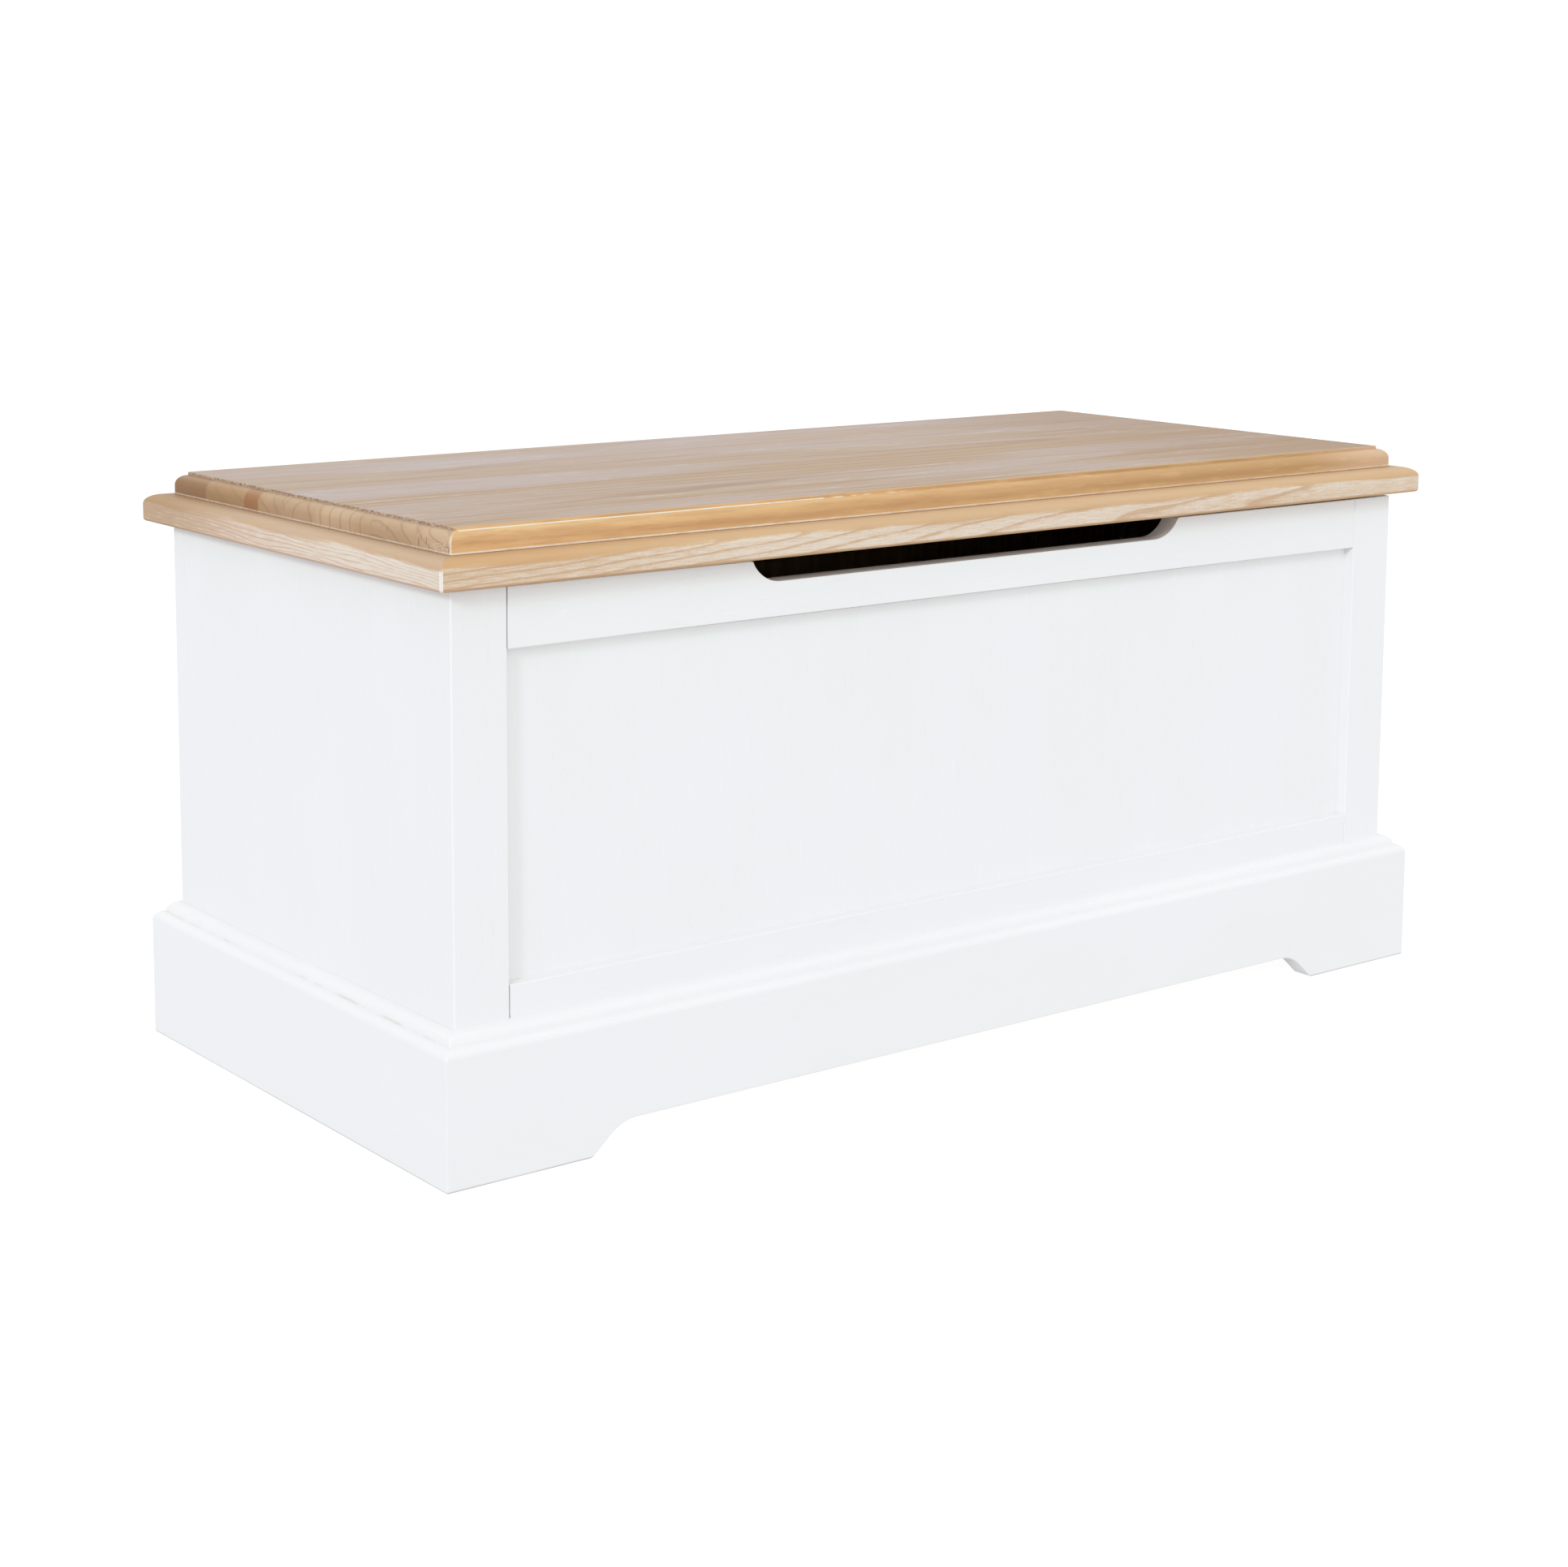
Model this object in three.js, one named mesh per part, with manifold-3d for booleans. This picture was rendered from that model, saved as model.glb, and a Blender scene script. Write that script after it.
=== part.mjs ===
// Blanket chest with a framed front and back, a moulded plinth and a lift-up lid, in millimetres.
// X runs along the front with left at -X, the front faces -Y, Z is up and the floor is Z = 0.

import * as THREE from 'three';
import { mergeVertices } from 'three/addons/utils/BufferGeometryUtils.js';
import Module from 'manifold-3d';

const wasm = await Module();
wasm.setup();

// Carcass sizes
const bodyWidth = 964;
const bodyDepth = 424;
const bodyTop = 416.5;
const bodyBottom = 45;
const frameThickness = 18;
const sidePanelThickness = 18;
const stileWidth = 45.5;
const topRailWidth = 43;
const bottomRailTop = 134;
const arrisRadius = 3;
const panelRecess = 10;
const panelThickness = 6;
const tongueLength = 9;
const sideTongueLength = 6;
const sideTongueThickness = 6;
const jointClearance = 0.3;

// Hand cut-out in the front top rail
const handCutFlat = 386;
const handCutDepth = 17.5;
const handCutRadius = 29;
const handCutLip = 4;

// Floor of the box
const floorThickness = 9;
const floorTop = 79;
const cleatWidth = 20;
const cleatHeight = 20;
const floorClearance = 0.5;

// Plinth
const plinthHeight = 110;
const plinthThickness = 18;
const upperBeadWidth = 10;
const upperBeadHeight = 8.7;
const lowerBeadHeight = 7;
const mitreClearance = 0.25;
const footWidth = 119;
const notchHeight = 23;
const notchRadius = 36;
const notchToeRadius = 6;
const notchSlopeDegrees = 42;
const cornerBlockSize = 40;
const cornerBlockNarrowShare = 0.3;
const cornerBlockLift = 2;

// Lid
const lidGap = 4;
const lidOverhang = 18;
const lidFrameWidth = 60;
const lidFrameThickness = 22;
const ledgeRoundWidth = 13;
const ledgeRoundHeight = 8;
const underArrisRadius = 2.5;
const topSetback = 19;
const topThickness = 18;
const topStep = 2.5;
const topRoundRadius = 8;
const plankCount = 7;
const frontPlankWidth = 44;
const backPlankWidth = 56;
const battenWidth = 60;
const battenThickness = 18;
const battenInset = 290;
const battenClearance = 0.5;
const bufferRadius = 5;
const bufferInset = 16;

// Butt hinges
const hingeInset = 200;
const hingeLength = 65;
const leafThickness = 1.8;
const leafWidth = 16.5;
const knuckleCount = 5;
const knuckleRadius = 3.5;
const knuckleGap = 0.3;
const barrelClearance = 0.3;
const leafClearance = 0.4;
const pinRadius = 1.5;
const pinClearance = 0.3;
const pinHeadRadius = 2.6;
const pinHeadLength = 1.5;
const reliefClearance = 0.5;

// Rod stays
const stayRadius = 150;
const stayDrop = 12;
const stayStartDegrees = 30;
const lidOpenDegrees = 90;
const rodRadius = 3;
const rodClearance = 0.3;
const rodEndLength = 3;
const rodEyeRadius = 8;
const rodEyeLength = 14;
const rodEyeThickness = 3;
const stopNutRadius = 5.5;
const stopNutHeight = 6;
const stopClearance = 0.5;
const swivelWidth = 14;
const swivelRadius = 7;
const trunnionRadius = 3;
const bossRadius = 7;
const bossLength = 4;
const bracketThickness = 2;
const wallPlateWidth = 26;
const wallPlateHeight = 46;
const lidPlateWidth = 21;
const lidPlateLength = 46;
const plateCornerRadius = 4;
const rivetRadius = 2.5;
const rivetHeadRadius = 4.5;
const rivetHeadLength = 1.5;
const rivetClearance = 0.3;

// Fineness of round stretches, and how far a cutter runs past what it cuts
const arcSteps = 6;
const roundSides = 24;
const hexSides = 6;
const cutOverrun = 4;

// Places worked out from the sizes
const halfWidth = bodyWidth / 2;
const halfDepth = bodyDepth / 2;
const innerHalfWidth = halfWidth - sidePanelThickness;
const innerHalfDepth = halfDepth - frameThickness;
const openHalfWidth = halfWidth - stileWidth;
const topRailBottom = bodyTop - topRailWidth;
const grooveWidth = panelThickness + 2 * jointClearance;
const grooveBack = panelRecess + grooveWidth;
const tongueReach = tongueLength - jointClearance;
const floorBottom = floorTop - floorThickness;
const lidBottom = bodyTop + lidGap;
const lidFrameTop = lidBottom + lidFrameThickness;
const lidTop = lidFrameTop + topThickness;
const lidHalfWidth = halfWidth + lidOverhang;
const lidHalfDepth = halfDepth + lidOverhang;
const topHalfWidth = lidHalfWidth - topSetback;
const topHalfDepth = lidHalfDepth - topSetback;
const hingeX = lidHalfWidth - hingeInset;
const hingeY = halfDepth + knuckleRadius + barrelClearance;
const hingeZ = (bodyTop + lidBottom) / 2;
const rodX = innerHalfWidth - bracketThickness - bossLength - jointClearance - swivelWidth / 2;

// Angles of the stay, both ends of which lie on one circle round the hinge pin
const pivotAngle = Math.asin(stayDrop / stayRadius);
const startAngle = THREE.MathUtils.degToRad(stayStartDegrees);
const openAngle = THREE.MathUtils.degToRad(lidOpenDegrees);
const rodTilt = pivotAngle + startAngle / 2;
const openReach = 2 * stayRadius * Math.sin((startAngle + openAngle) / 2);
const lidPivotY = hingeY - stayRadius * Math.cos(pivotAngle);
const lidPivotZ = hingeZ - stayRadius * Math.sin(pivotAngle);
const wallPivotY = hingeY - stayRadius * Math.cos(pivotAngle + startAngle);
const wallPivotZ = hingeZ - stayRadius * Math.sin(pivotAngle + startAngle);
const stopNutReach = openReach + swivelRadius + stopClearance;
const rodLength = stopNutReach + stopNutHeight + rodEndLength;

const chest = new THREE.Group();

// Finishes

function paint() {
  return new THREE.MeshStandardMaterial({ color: 0xeff0f2, roughness: 0.5, metalness: 0 });
}

function limedWood() {
  return new THREE.MeshStandardMaterial({ color: 0xcfab7d, roughness: 0.6, metalness: 0 });
}

function bareWood() {
  return new THREE.MeshStandardMaterial({ color: 0xd9bd92, roughness: 0.75, metalness: 0 });
}

function steel() {
  return new THREE.MeshStandardMaterial({ color: 0xb9bbbd, roughness: 0.35, metalness: 1 });
}

function rubber() {
  return new THREE.MeshStandardMaterial({ color: 0xe6e4de, roughness: 0.8, metalness: 0 });
}

// Closed solids

function solid(geometry) {
  const bare = geometry.clone();
  bare.deleteAttribute('normal');
  bare.deleteAttribute('uv');
  const merged = mergeVertices(bare);
  const vertProperties = new Float32Array(merged.attributes.position.array);
  const triVerts = new Uint32Array(merged.index.array);
  return new wasm.Manifold(new wasm.Mesh({ numProp: 3, vertProperties, triVerts }));
}

function add(name, body, material, place = {}) {
  const { vertProperties, triVerts } = body.getMesh();
  const geometry = new THREE.BufferGeometry();
  geometry.setAttribute('position', new THREE.BufferAttribute(vertProperties, 3));
  geometry.setIndex(new THREE.BufferAttribute(triVerts, 1));
  material.flatShading = true;
  const mesh = new THREE.Mesh(geometry, material);
  mesh.name = name;
  mesh.position.set(place.x ?? 0, place.y ?? 0, place.z ?? 0);
  mesh.rotation.x = place.tilt ?? 0;
  chest.add(mesh);
}

function block(xa, xb, ya, yb, za, zb) {
  const geometry = new THREE.BoxGeometry(Math.abs(xb - xa), Math.abs(yb - ya), Math.abs(zb - za));
  return solid(geometry.translate((xa + xb) / 2, (ya + yb) / 2, (za + zb) / 2));
}

function prismZ(points, za, zb) {
  const shape = new THREE.Shape(points);
  const geometry = new THREE.ExtrudeGeometry(shape, { depth: zb - za, bevelEnabled: false });
  return solid(geometry.translate(0, 0, za));
}

function prismY(points, ya, yb) {
  const shape = new THREE.Shape(points);
  const geometry = new THREE.ExtrudeGeometry(shape, { depth: yb - ya, bevelEnabled: false });
  return solid(geometry.rotateX(Math.PI / 2).translate(0, yb, 0));
}

function prismXGeometry(points, xa, xb) {
  const shape = new THREE.Shape(points);
  const geometry = new THREE.ExtrudeGeometry(shape, { depth: xb - xa, bevelEnabled: false });
  const turn = new THREE.Matrix4().set(0, 0, 1, xa, 1, 0, 0, 0, 0, 1, 0, 0, 0, 0, 0, 1);
  return geometry.applyMatrix4(turn);
}

function prismX(points, xa, xb) {
  return solid(prismXGeometry(points, xa, xb));
}

function cylinderX(radius, xa, xb, y, z, sides = roundSides) {
  const geometry = new THREE.CylinderGeometry(radius, radius, Math.abs(xb - xa), sides);
  return solid(geometry.rotateZ(Math.PI / 2).translate((xa + xb) / 2, y, z));
}

function cylinderZ(radius, x, y, za, zb, sides = roundSides) {
  const geometry = new THREE.CylinderGeometry(radius, radius, zb - za, sides);
  return solid(geometry.rotateX(Math.PI / 2).translate(x, y, (za + zb) / 2));
}

function point(x, y) {
  return new THREE.Vector2(x, y);
}

function arc(x, y, radiusX, radiusY, fromDegrees, toDegrees) {
  const from = THREE.MathUtils.degToRad(fromDegrees);
  const to = THREE.MathUtils.degToRad(toDegrees);
  const curve = new THREE.EllipseCurve(x, y, radiusX, radiusY, from, to, to < from);
  return curve.getPoints(arcSteps);
}

function roundedRectangle(x, y, halfX, halfY, radius) {
  const [right, top] = [halfX - radius, halfY - radius];
  return [
    ...arc(x + right, y + top, radius, radius, 0, 90),
    ...arc(x - right, y + top, radius, radius, 90, 180),
    ...arc(x - right, y - top, radius, radius, 180, 270),
    ...arc(x + right, y - top, radius, radius, 270, 360),
  ];
}

function mirroredOutline(half) {
  const other = half.map((p) => point(-p.x, p.y)).reverse();
  return [...half, ...other];
}

// A cutter that rounds one upright arris at the corner (x, y), whose outward signs are given
function arrisCutter(x, y, signX, signY, za, zb) {
  const curve = arc(-arrisRadius, -arrisRadius, arrisRadius, arrisRadius, 90, 0);
  const outline = [
    ...curve,
    point(cutOverrun, -arrisRadius),
    point(cutOverrun, cutOverrun),
    point(-arrisRadius, cutOverrun),
  ].map((p) => point(x + signX * p.x, y + signY * p.y));
  return prismZ(outline, za - cutOverrun, zb + cutOverrun);
}

// A moulding cut to a mitre at both ends. Its profile gives the distance out from the line
// where the mitres start and the height. It is made for the back, then turned to its side.
function mitredBoard(profile, halfRun, offset, quarterTurns, outermost) {
  const geometry = prismXGeometry(profile, -1, 1);
  const place = geometry.attributes.position;
  for (let i = 0; i < place.count; i += 1) {
    const out = place.getY(i);
    const end = Math.sign(place.getX(i));
    place.setX(i, end * (halfRun + out - mitreClearance));
    place.setY(i, offset + out);
  }
  let board = solid(geometry);
  const [low, high] = [Math.min(...profile.map((p) => p.y)), Math.max(...profile.map((p) => p.y))];
  for (const end of [-1, 1]) {
    board = board.subtract(arrisCutter(end * (halfRun + outermost), offset + outermost, end, 1, low, high));
  }
  return board.rotate([0, 0, 90 * quarterTurns]);
}

// Front and back frames

function stileOutline(signX, signY) {
  const grooveStart = (sidePanelThickness - sideTongueThickness) / 2 - jointClearance;
  const grooveEnd = (sidePanelThickness + sideTongueThickness) / 2 + jointClearance;
  const outline = [
    ...arc(arrisRadius, arrisRadius, arrisRadius, arrisRadius, 180, 270),
    point(stileWidth, 0),
    point(stileWidth, panelRecess),
    point(stileWidth - tongueLength, panelRecess),
    point(stileWidth - tongueLength, grooveBack),
    point(stileWidth, grooveBack),
    point(stileWidth, frameThickness),
    point(grooveEnd, frameThickness),
    point(grooveEnd, frameThickness - sideTongueLength),
    point(grooveStart, frameThickness - sideTongueLength),
    point(grooveStart, frameThickness),
    point(0, frameThickness),
  ];
  return outline.map((p) => point(signX * (halfWidth - p.x), signY * (halfDepth - p.y)));
}

function stile(signX, signY) {
  return prismZ(stileOutline(signX, signY), bodyBottom, bodyTop);
}

function rail(signY, low, high, grooveEdge) {
  const face = (depth) => signY * (halfDepth - depth);
  const tongueHalf = openHalfWidth + tongueReach;
  const board = block(-openHalfWidth, openHalfWidth, face(0), face(frameThickness), low, high);
  const tongueFace = face(panelRecess + jointClearance);
  const tongueBack = face(grooveBack - jointClearance);
  const tongue = block(-tongueHalf, tongueHalf, tongueFace, tongueBack, low, high);
  const grooveEnd = grooveEdge === 'top' ? high - tongueLength : low + tongueLength;
  const grooveMouth = grooveEdge === 'top' ? high + cutOverrun : low - cutOverrun;
  const cutHalf = tongueHalf + cutOverrun;
  const groove = block(-cutHalf, cutHalf, face(panelRecess), face(grooveBack), grooveEnd, grooveMouth);
  return board.add(tongue).subtract(groove);
}

function handCutter() {
  const lipRise = handCutRadius - handCutDepth + handCutLip;
  const reach = handCutRadius + handCutLip;
  const lipRun = Math.sqrt(reach * reach - lipRise * lipRise);
  const lipDegrees = THREE.MathUtils.radToDeg(Math.asin(lipRise / reach));
  const centreX = handCutFlat / 2;
  const centreZ = bodyTop - handCutDepth + handCutRadius;
  const half = [
    ...arc(centreX, centreZ, handCutRadius, handCutRadius, 270, 360 - lipDegrees),
    ...arc(centreX + lipRun, bodyTop - handCutLip, handCutLip, handCutLip, 180 - lipDegrees, 90),
    point(centreX + lipRun, bodyTop + cutOverrun),
  ];
  return prismY(mirroredOutline(half), -halfDepth - cutOverrun, -innerHalfDepth + cutOverrun);
}

function framePanel(signY) {
  const half = openHalfWidth + tongueReach;
  const face = signY * (halfDepth - panelRecess - jointClearance);
  const back = signY * (halfDepth - grooveBack + jointClearance);
  return block(-half, half, face, back, bottomRailTop - tongueReach, topRailBottom + tongueReach);
}

function addFrame(name, signY) {
  add(`${name}_left_stile`, stile(-1, signY), paint());
  add(`${name}_right_stile`, stile(1, signY), paint());
  const topRail = rail(signY, topRailBottom, bodyTop, 'bottom');
  add(`${name}_top_rail`, signY < 0 ? topRail.subtract(handCutter()) : topRail, paint());
  add(`${name}_bottom_rail`, rail(signY, bodyBottom, bottomRailTop, 'top'), paint());
  add(`${name}_panel`, framePanel(signY), paint());
}

// Side panels, tongued into the stiles

function sidePanel(signX) {
  const [inside, outside] = [signX * innerHalfWidth, signX * halfWidth];
  const board = block(inside, outside, -innerHalfDepth, innerHalfDepth, bodyBottom, bodyTop);
  const middle = halfWidth - sidePanelThickness / 2;
  const tongueIn = signX * (middle - sideTongueThickness / 2);
  const tongueOut = signX * (middle + sideTongueThickness / 2);
  const reach = innerHalfDepth + sideTongueLength - jointClearance;
  return board.add(block(tongueIn, tongueOut, -reach, reach, bodyBottom, bodyTop));
}

function addSides() {
  add('left_side_panel', sidePanel(-1), paint());
  add('right_side_panel', sidePanel(1), paint());
}

// Floor of the box on four cleats

function addFloor() {
  const boardX = innerHalfWidth - floorClearance;
  const boardY = innerHalfDepth - floorClearance;
  add('floor_board', block(-boardX, boardX, -boardY, boardY, floorBottom, floorTop), bareWood());
  const low = floorBottom - cleatHeight;
  const shortHalf = innerHalfDepth - cleatWidth;
  for (const [name, sign] of [['front', -1], ['back', 1]]) {
    const inside = sign * shortHalf;
    const cleat = block(-innerHalfWidth, innerHalfWidth, sign * innerHalfDepth, inside, low, floorBottom);
    add(`floor_cleat_${name}`, cleat, bareWood());
  }
  for (const [name, sign] of [['left', -1], ['right', 1]]) {
    const inside = sign * (innerHalfWidth - cleatWidth);
    const cleat = block(sign * innerHalfWidth, inside, -shortHalf, shortHalf, low, floorBottom);
    add(`floor_cleat_${name}`, cleat, bareWood());
  }
}

// Plinth of four mitred mouldings, with glue blocks in its corners

function plinthProfile() {
  const quirk = plinthHeight - upperBeadHeight;
  const lowerBeadWidth = plinthThickness - upperBeadWidth;
  return [
    point(0, 0),
    point(plinthThickness, 0),
    ...arc(upperBeadWidth, quirk - lowerBeadHeight, lowerBeadWidth, lowerBeadHeight, 0, 90),
    ...arc(0, quirk, upperBeadWidth, upperBeadHeight, 0, 90),
  ];
}

function notchCutter() {
  const slope = THREE.MathUtils.degToRad(notchSlopeDegrees);
  const bend = 1 - Math.cos(slope);
  const straightDrop = notchHeight - (notchRadius + notchToeRadius) * bend;
  const straightRun = straightDrop / Math.tan(slope);
  const toeX = halfWidth + plinthThickness - footWidth;
  const archX = toeX - (notchToeRadius + notchRadius) * Math.sin(slope) - straightRun;
  const slopeEnd = 270 - notchSlopeDegrees;
  const half = [
    point(toeX, -cutOverrun),
    ...arc(toeX, notchToeRadius, notchToeRadius, notchToeRadius, 270, slopeEnd),
    ...arc(archX, notchHeight - notchRadius, notchRadius, notchRadius, 90 - notchSlopeDegrees, 90),
  ];
  const back = -halfDepth + cutOverrun;
  return prismY(mirroredOutline(half), -halfDepth - plinthThickness - cutOverrun, back);
}

function cornerBlock(signX, signY) {
  const narrow = cornerBlockSize * cornerBlockNarrowShare;
  const outline = [
    point(0, 0),
    point(cornerBlockSize, 0),
    point(cornerBlockSize, narrow),
    point(narrow, cornerBlockSize),
    point(0, cornerBlockSize),
  ];
  const placed = outline.map((p) => point(signX * (halfWidth - p.x), signY * (halfDepth - p.y)));
  return prismZ(placed, cornerBlockLift, bodyBottom);
}

function addPlinth() {
  const profile = plinthProfile();
  const front = mitredBoard(profile, halfWidth, halfDepth, 2, plinthThickness);
  add('plinth_front', front.subtract(notchCutter()), paint());
  add('plinth_back', mitredBoard(profile, halfWidth, halfDepth, 0, plinthThickness), paint());
  add('plinth_left', mitredBoard(profile, halfDepth, halfWidth, 1, plinthThickness), paint());
  add('plinth_right', mitredBoard(profile, halfDepth, halfWidth, 3, plinthThickness), paint());
  add('corner_block_front_left', cornerBlock(-1, -1), bareWood());
  add('corner_block_front_right', cornerBlock(1, -1), bareWood());
  add('corner_block_back_left', cornerBlock(-1, 1), bareWood());
  add('corner_block_back_right', cornerBlock(1, 1), bareWood());
}

// Lower tier of the lid, a mitred frame of moulding

function lidFrameProfile() {
  const roundBottom = lidFrameTop - ledgeRoundHeight;
  const under = lidBottom + underArrisRadius;
  return [
    point(-lidFrameWidth, lidBottom),
    ...arc(-underArrisRadius, under, underArrisRadius, underArrisRadius, 270, 360),
    ...arc(-ledgeRoundWidth, roundBottom, ledgeRoundWidth, ledgeRoundHeight, 0, 90),
    point(-lidFrameWidth, lidFrameTop),
  ];
}

function barrelRelief(centreX) {
  const half = hingeLength / 2 + barrelClearance + pinHeadLength + reliefClearance;
  const reach = knuckleRadius + reliefClearance;
  const floor = lidBottom - cutOverrun;
  return block(centreX - half, centreX + half, hingeY - reach, hingeY + reach, floor, hingeZ + reach);
}

function addLidFrame() {
  const profile = lidFrameProfile();
  let back = mitredBoard(profile, lidHalfWidth, lidHalfDepth, 0, 0);
  for (const sign of [-1, 1]) {
    back = back.subtract(barrelRelief(sign * hingeX));
  }
  add('lid_frame_front', mitredBoard(profile, lidHalfWidth, lidHalfDepth, 2, 0), limedWood());
  add('lid_frame_back', back, limedWood());
  add('lid_frame_left', mitredBoard(profile, lidHalfDepth, lidHalfWidth, 1, 0), limedWood());
  add('lid_frame_right', mitredBoard(profile, lidHalfDepth, lidHalfWidth, 3, 0), limedWood());
}

// Upper tier of the lid, glued up from planks and moulded on all four edges

function topBoardOutline(half) {
  const base = lidFrameTop;
  const faceTop = lidTop - topStep - topRoundRadius;
  return mirroredOutline([
    point(half, base),
    ...arc(half - topRoundRadius, faceTop, topRoundRadius, topRoundRadius, 0, 90),
    point(half - topRoundRadius, lidTop),
  ]);
}

function addTopPlanks() {
  const long = prismX(topBoardOutline(topHalfDepth), -topHalfWidth, topHalfWidth);
  const board = long.intersect(prismY(topBoardOutline(topHalfWidth), -topHalfDepth, topHalfDepth));
  const innerCount = plankCount - 2;
  const innerWidth = (2 * topHalfDepth - frontPlankWidth - backPlankWidth) / innerCount;
  const widths = [frontPlankWidth, ...Array(innerCount).fill(innerWidth), backPlankWidth];
  let front = -topHalfDepth;
  widths.forEach((width, i) => {
    const strip = block(-lidHalfWidth, lidHalfWidth, front, front + width, lidBottom, lidTop + cutOverrun);
    add(`lid_plank_${i + 1}`, board.intersect(strip), limedWood());
    front += width;
  });
}

function addBattens() {
  const half = lidHalfDepth - lidFrameWidth - battenClearance;
  for (const [name, sign] of [['left', -1], ['right', 1]]) {
    const middle = sign * (lidHalfWidth - battenInset);
    const [xa, xb] = [middle - battenWidth / 2, middle + battenWidth / 2];
    const batten = block(xa, xb, -half, half, lidFrameTop - battenThickness, lidFrameTop);
    add(`lid_batten_${name}`, batten, bareWood());
  }
}

// Buffers that hold the closed lid off the carcass

function addBuffers() {
  for (const [end, signY] of [['front', -1], ['back', 1]]) {
    for (const [side, signX] of [['left', -1], ['right', 1]]) {
      const x = signX * (halfWidth - bufferInset);
      const y = signY * (halfDepth - frameThickness / 2);
      const buffer = cylinderZ(bufferRadius, x, y, bodyTop, lidBottom);
      add(`lid_buffer_${end}_${side}`, buffer, rubber());
    }
  }
}

// Butt hinges, whose leaves lie in the gap under the lid

function hingeLeaf(centreX, low, firstKnuckle) {
  const start = centreX - hingeLength / 2;
  const pitch = hingeLength / knuckleCount;
  const plateEnd = hingeY - knuckleRadius - leafClearance;
  const high = low + leafThickness;
  let leaf = block(start, start + hingeLength, plateEnd - leafWidth, plateEnd, low, high);
  for (let i = firstKnuckle; i < knuckleCount; i += 2) {
    const from = start + i * pitch + (i > 0 ? knuckleGap / 2 : 0);
    const to = start + (i + 1) * pitch - (i < knuckleCount - 1 ? knuckleGap / 2 : 0);
    leaf = leaf.add(block(from, to, plateEnd - leafWidth / 2, hingeY, low, high));
    leaf = leaf.add(cylinderX(knuckleRadius, from, to, hingeY, hingeZ));
  }
  const [boreStart, boreEnd] = [start - cutOverrun, start + hingeLength + cutOverrun];
  return leaf.subtract(cylinderX(pinRadius + pinClearance, boreStart, boreEnd, hingeY, hingeZ));
}

function hingePin(centreX) {
  const inner = hingeLength / 2 + barrelClearance;
  const outer = inner + pinHeadLength;
  let pin = cylinderX(pinRadius, centreX - outer, centreX + outer, hingeY, hingeZ);
  for (const sign of [-1, 1]) {
    pin = pin.add(cylinderX(pinHeadRadius, centreX + sign * inner, centreX + sign * outer, hingeY, hingeZ));
  }
  return pin;
}

function addHinges() {
  for (const [side, sign] of [['left', -1], ['right', 1]]) {
    const x = sign * hingeX;
    add(`hinge_${side}_body_leaf`, hingeLeaf(x, bodyTop, 0), steel());
    add(`hinge_${side}_lid_leaf`, hingeLeaf(x, lidBottom - leafThickness, 1), steel());
    add(`hinge_${side}_pin`, hingePin(x), steel());
  }
}

// Rod stays. A rod pivots on the lid and slides through a swivel on the side panel. Rod, nut
// and swivel are made upright round their own pivot, then tilted to the line of the closed stay.

function stayRod() {
  const half = rodEyeThickness / 2;
  const shoulder = rodEyeLength - rodEyeRadius;
  const outline = [
    ...arc(0, 0, rodEyeRadius, rodEyeRadius, 0, 180),
    point(-rodEyeRadius, -shoulder),
    point(-rodRadius, -rodEyeLength),
    point(rodRadius, -rodEyeLength),
    point(rodEyeRadius, -shoulder),
  ];
  const shank = cylinderZ(rodRadius, 0, 0, -rodLength, rodEyeRadius / 2 - rodEyeLength);
  const hole = cylinderX(rivetRadius + rivetClearance, -cutOverrun, cutOverrun, 0, 0);
  return prismX(outline, -half, half).add(shank).subtract(hole);
}

function stopNut() {
  const nut = cylinderZ(stopNutRadius, 0, 0, -stopNutReach - stopNutHeight, -stopNutReach, hexSides);
  const bottom = -stopNutReach - stopNutHeight - cutOverrun;
  return nut.subtract(cylinderZ(rodRadius + rodClearance, 0, 0, bottom, cutOverrun - stopNutReach));
}

function staySwivel(sign) {
  const half = swivelWidth / 2;
  const wall = innerHalfWidth - rodX - jointClearance;
  const head = cylinderX(swivelRadius, -half, half, 0, 0);
  const reach = swivelRadius + cutOverrun;
  const bore = cylinderZ(rodRadius + rodClearance, 0, 0, -reach, reach);
  return head.subtract(bore).add(cylinderX(trunnionRadius, sign * half, sign * wall, 0, 0));
}

function wallBracket(sign) {
  const wall = sign * innerHalfWidth;
  const plateFace = wall - sign * bracketThickness;
  const bossFace = plateFace - sign * bossLength;
  const [halfY, halfZ] = [wallPlateWidth / 2, wallPlateHeight / 2];
  const outline = roundedRectangle(wallPivotY, wallPivotZ, halfY, halfZ, plateCornerRadius);
  const plate = prismX(outline, Math.min(wall, plateFace), Math.max(wall, plateFace));
  const boss = cylinderX(bossRadius, plateFace, bossFace, wallPivotY, wallPivotZ);
  const bore = trunnionRadius + rodClearance;
  const [from, to] = [wall + sign * cutOverrun, bossFace - sign * cutOverrun];
  return plate.add(boss).subtract(cylinderX(bore, from, to, wallPivotY, wallPivotZ));
}

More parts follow.
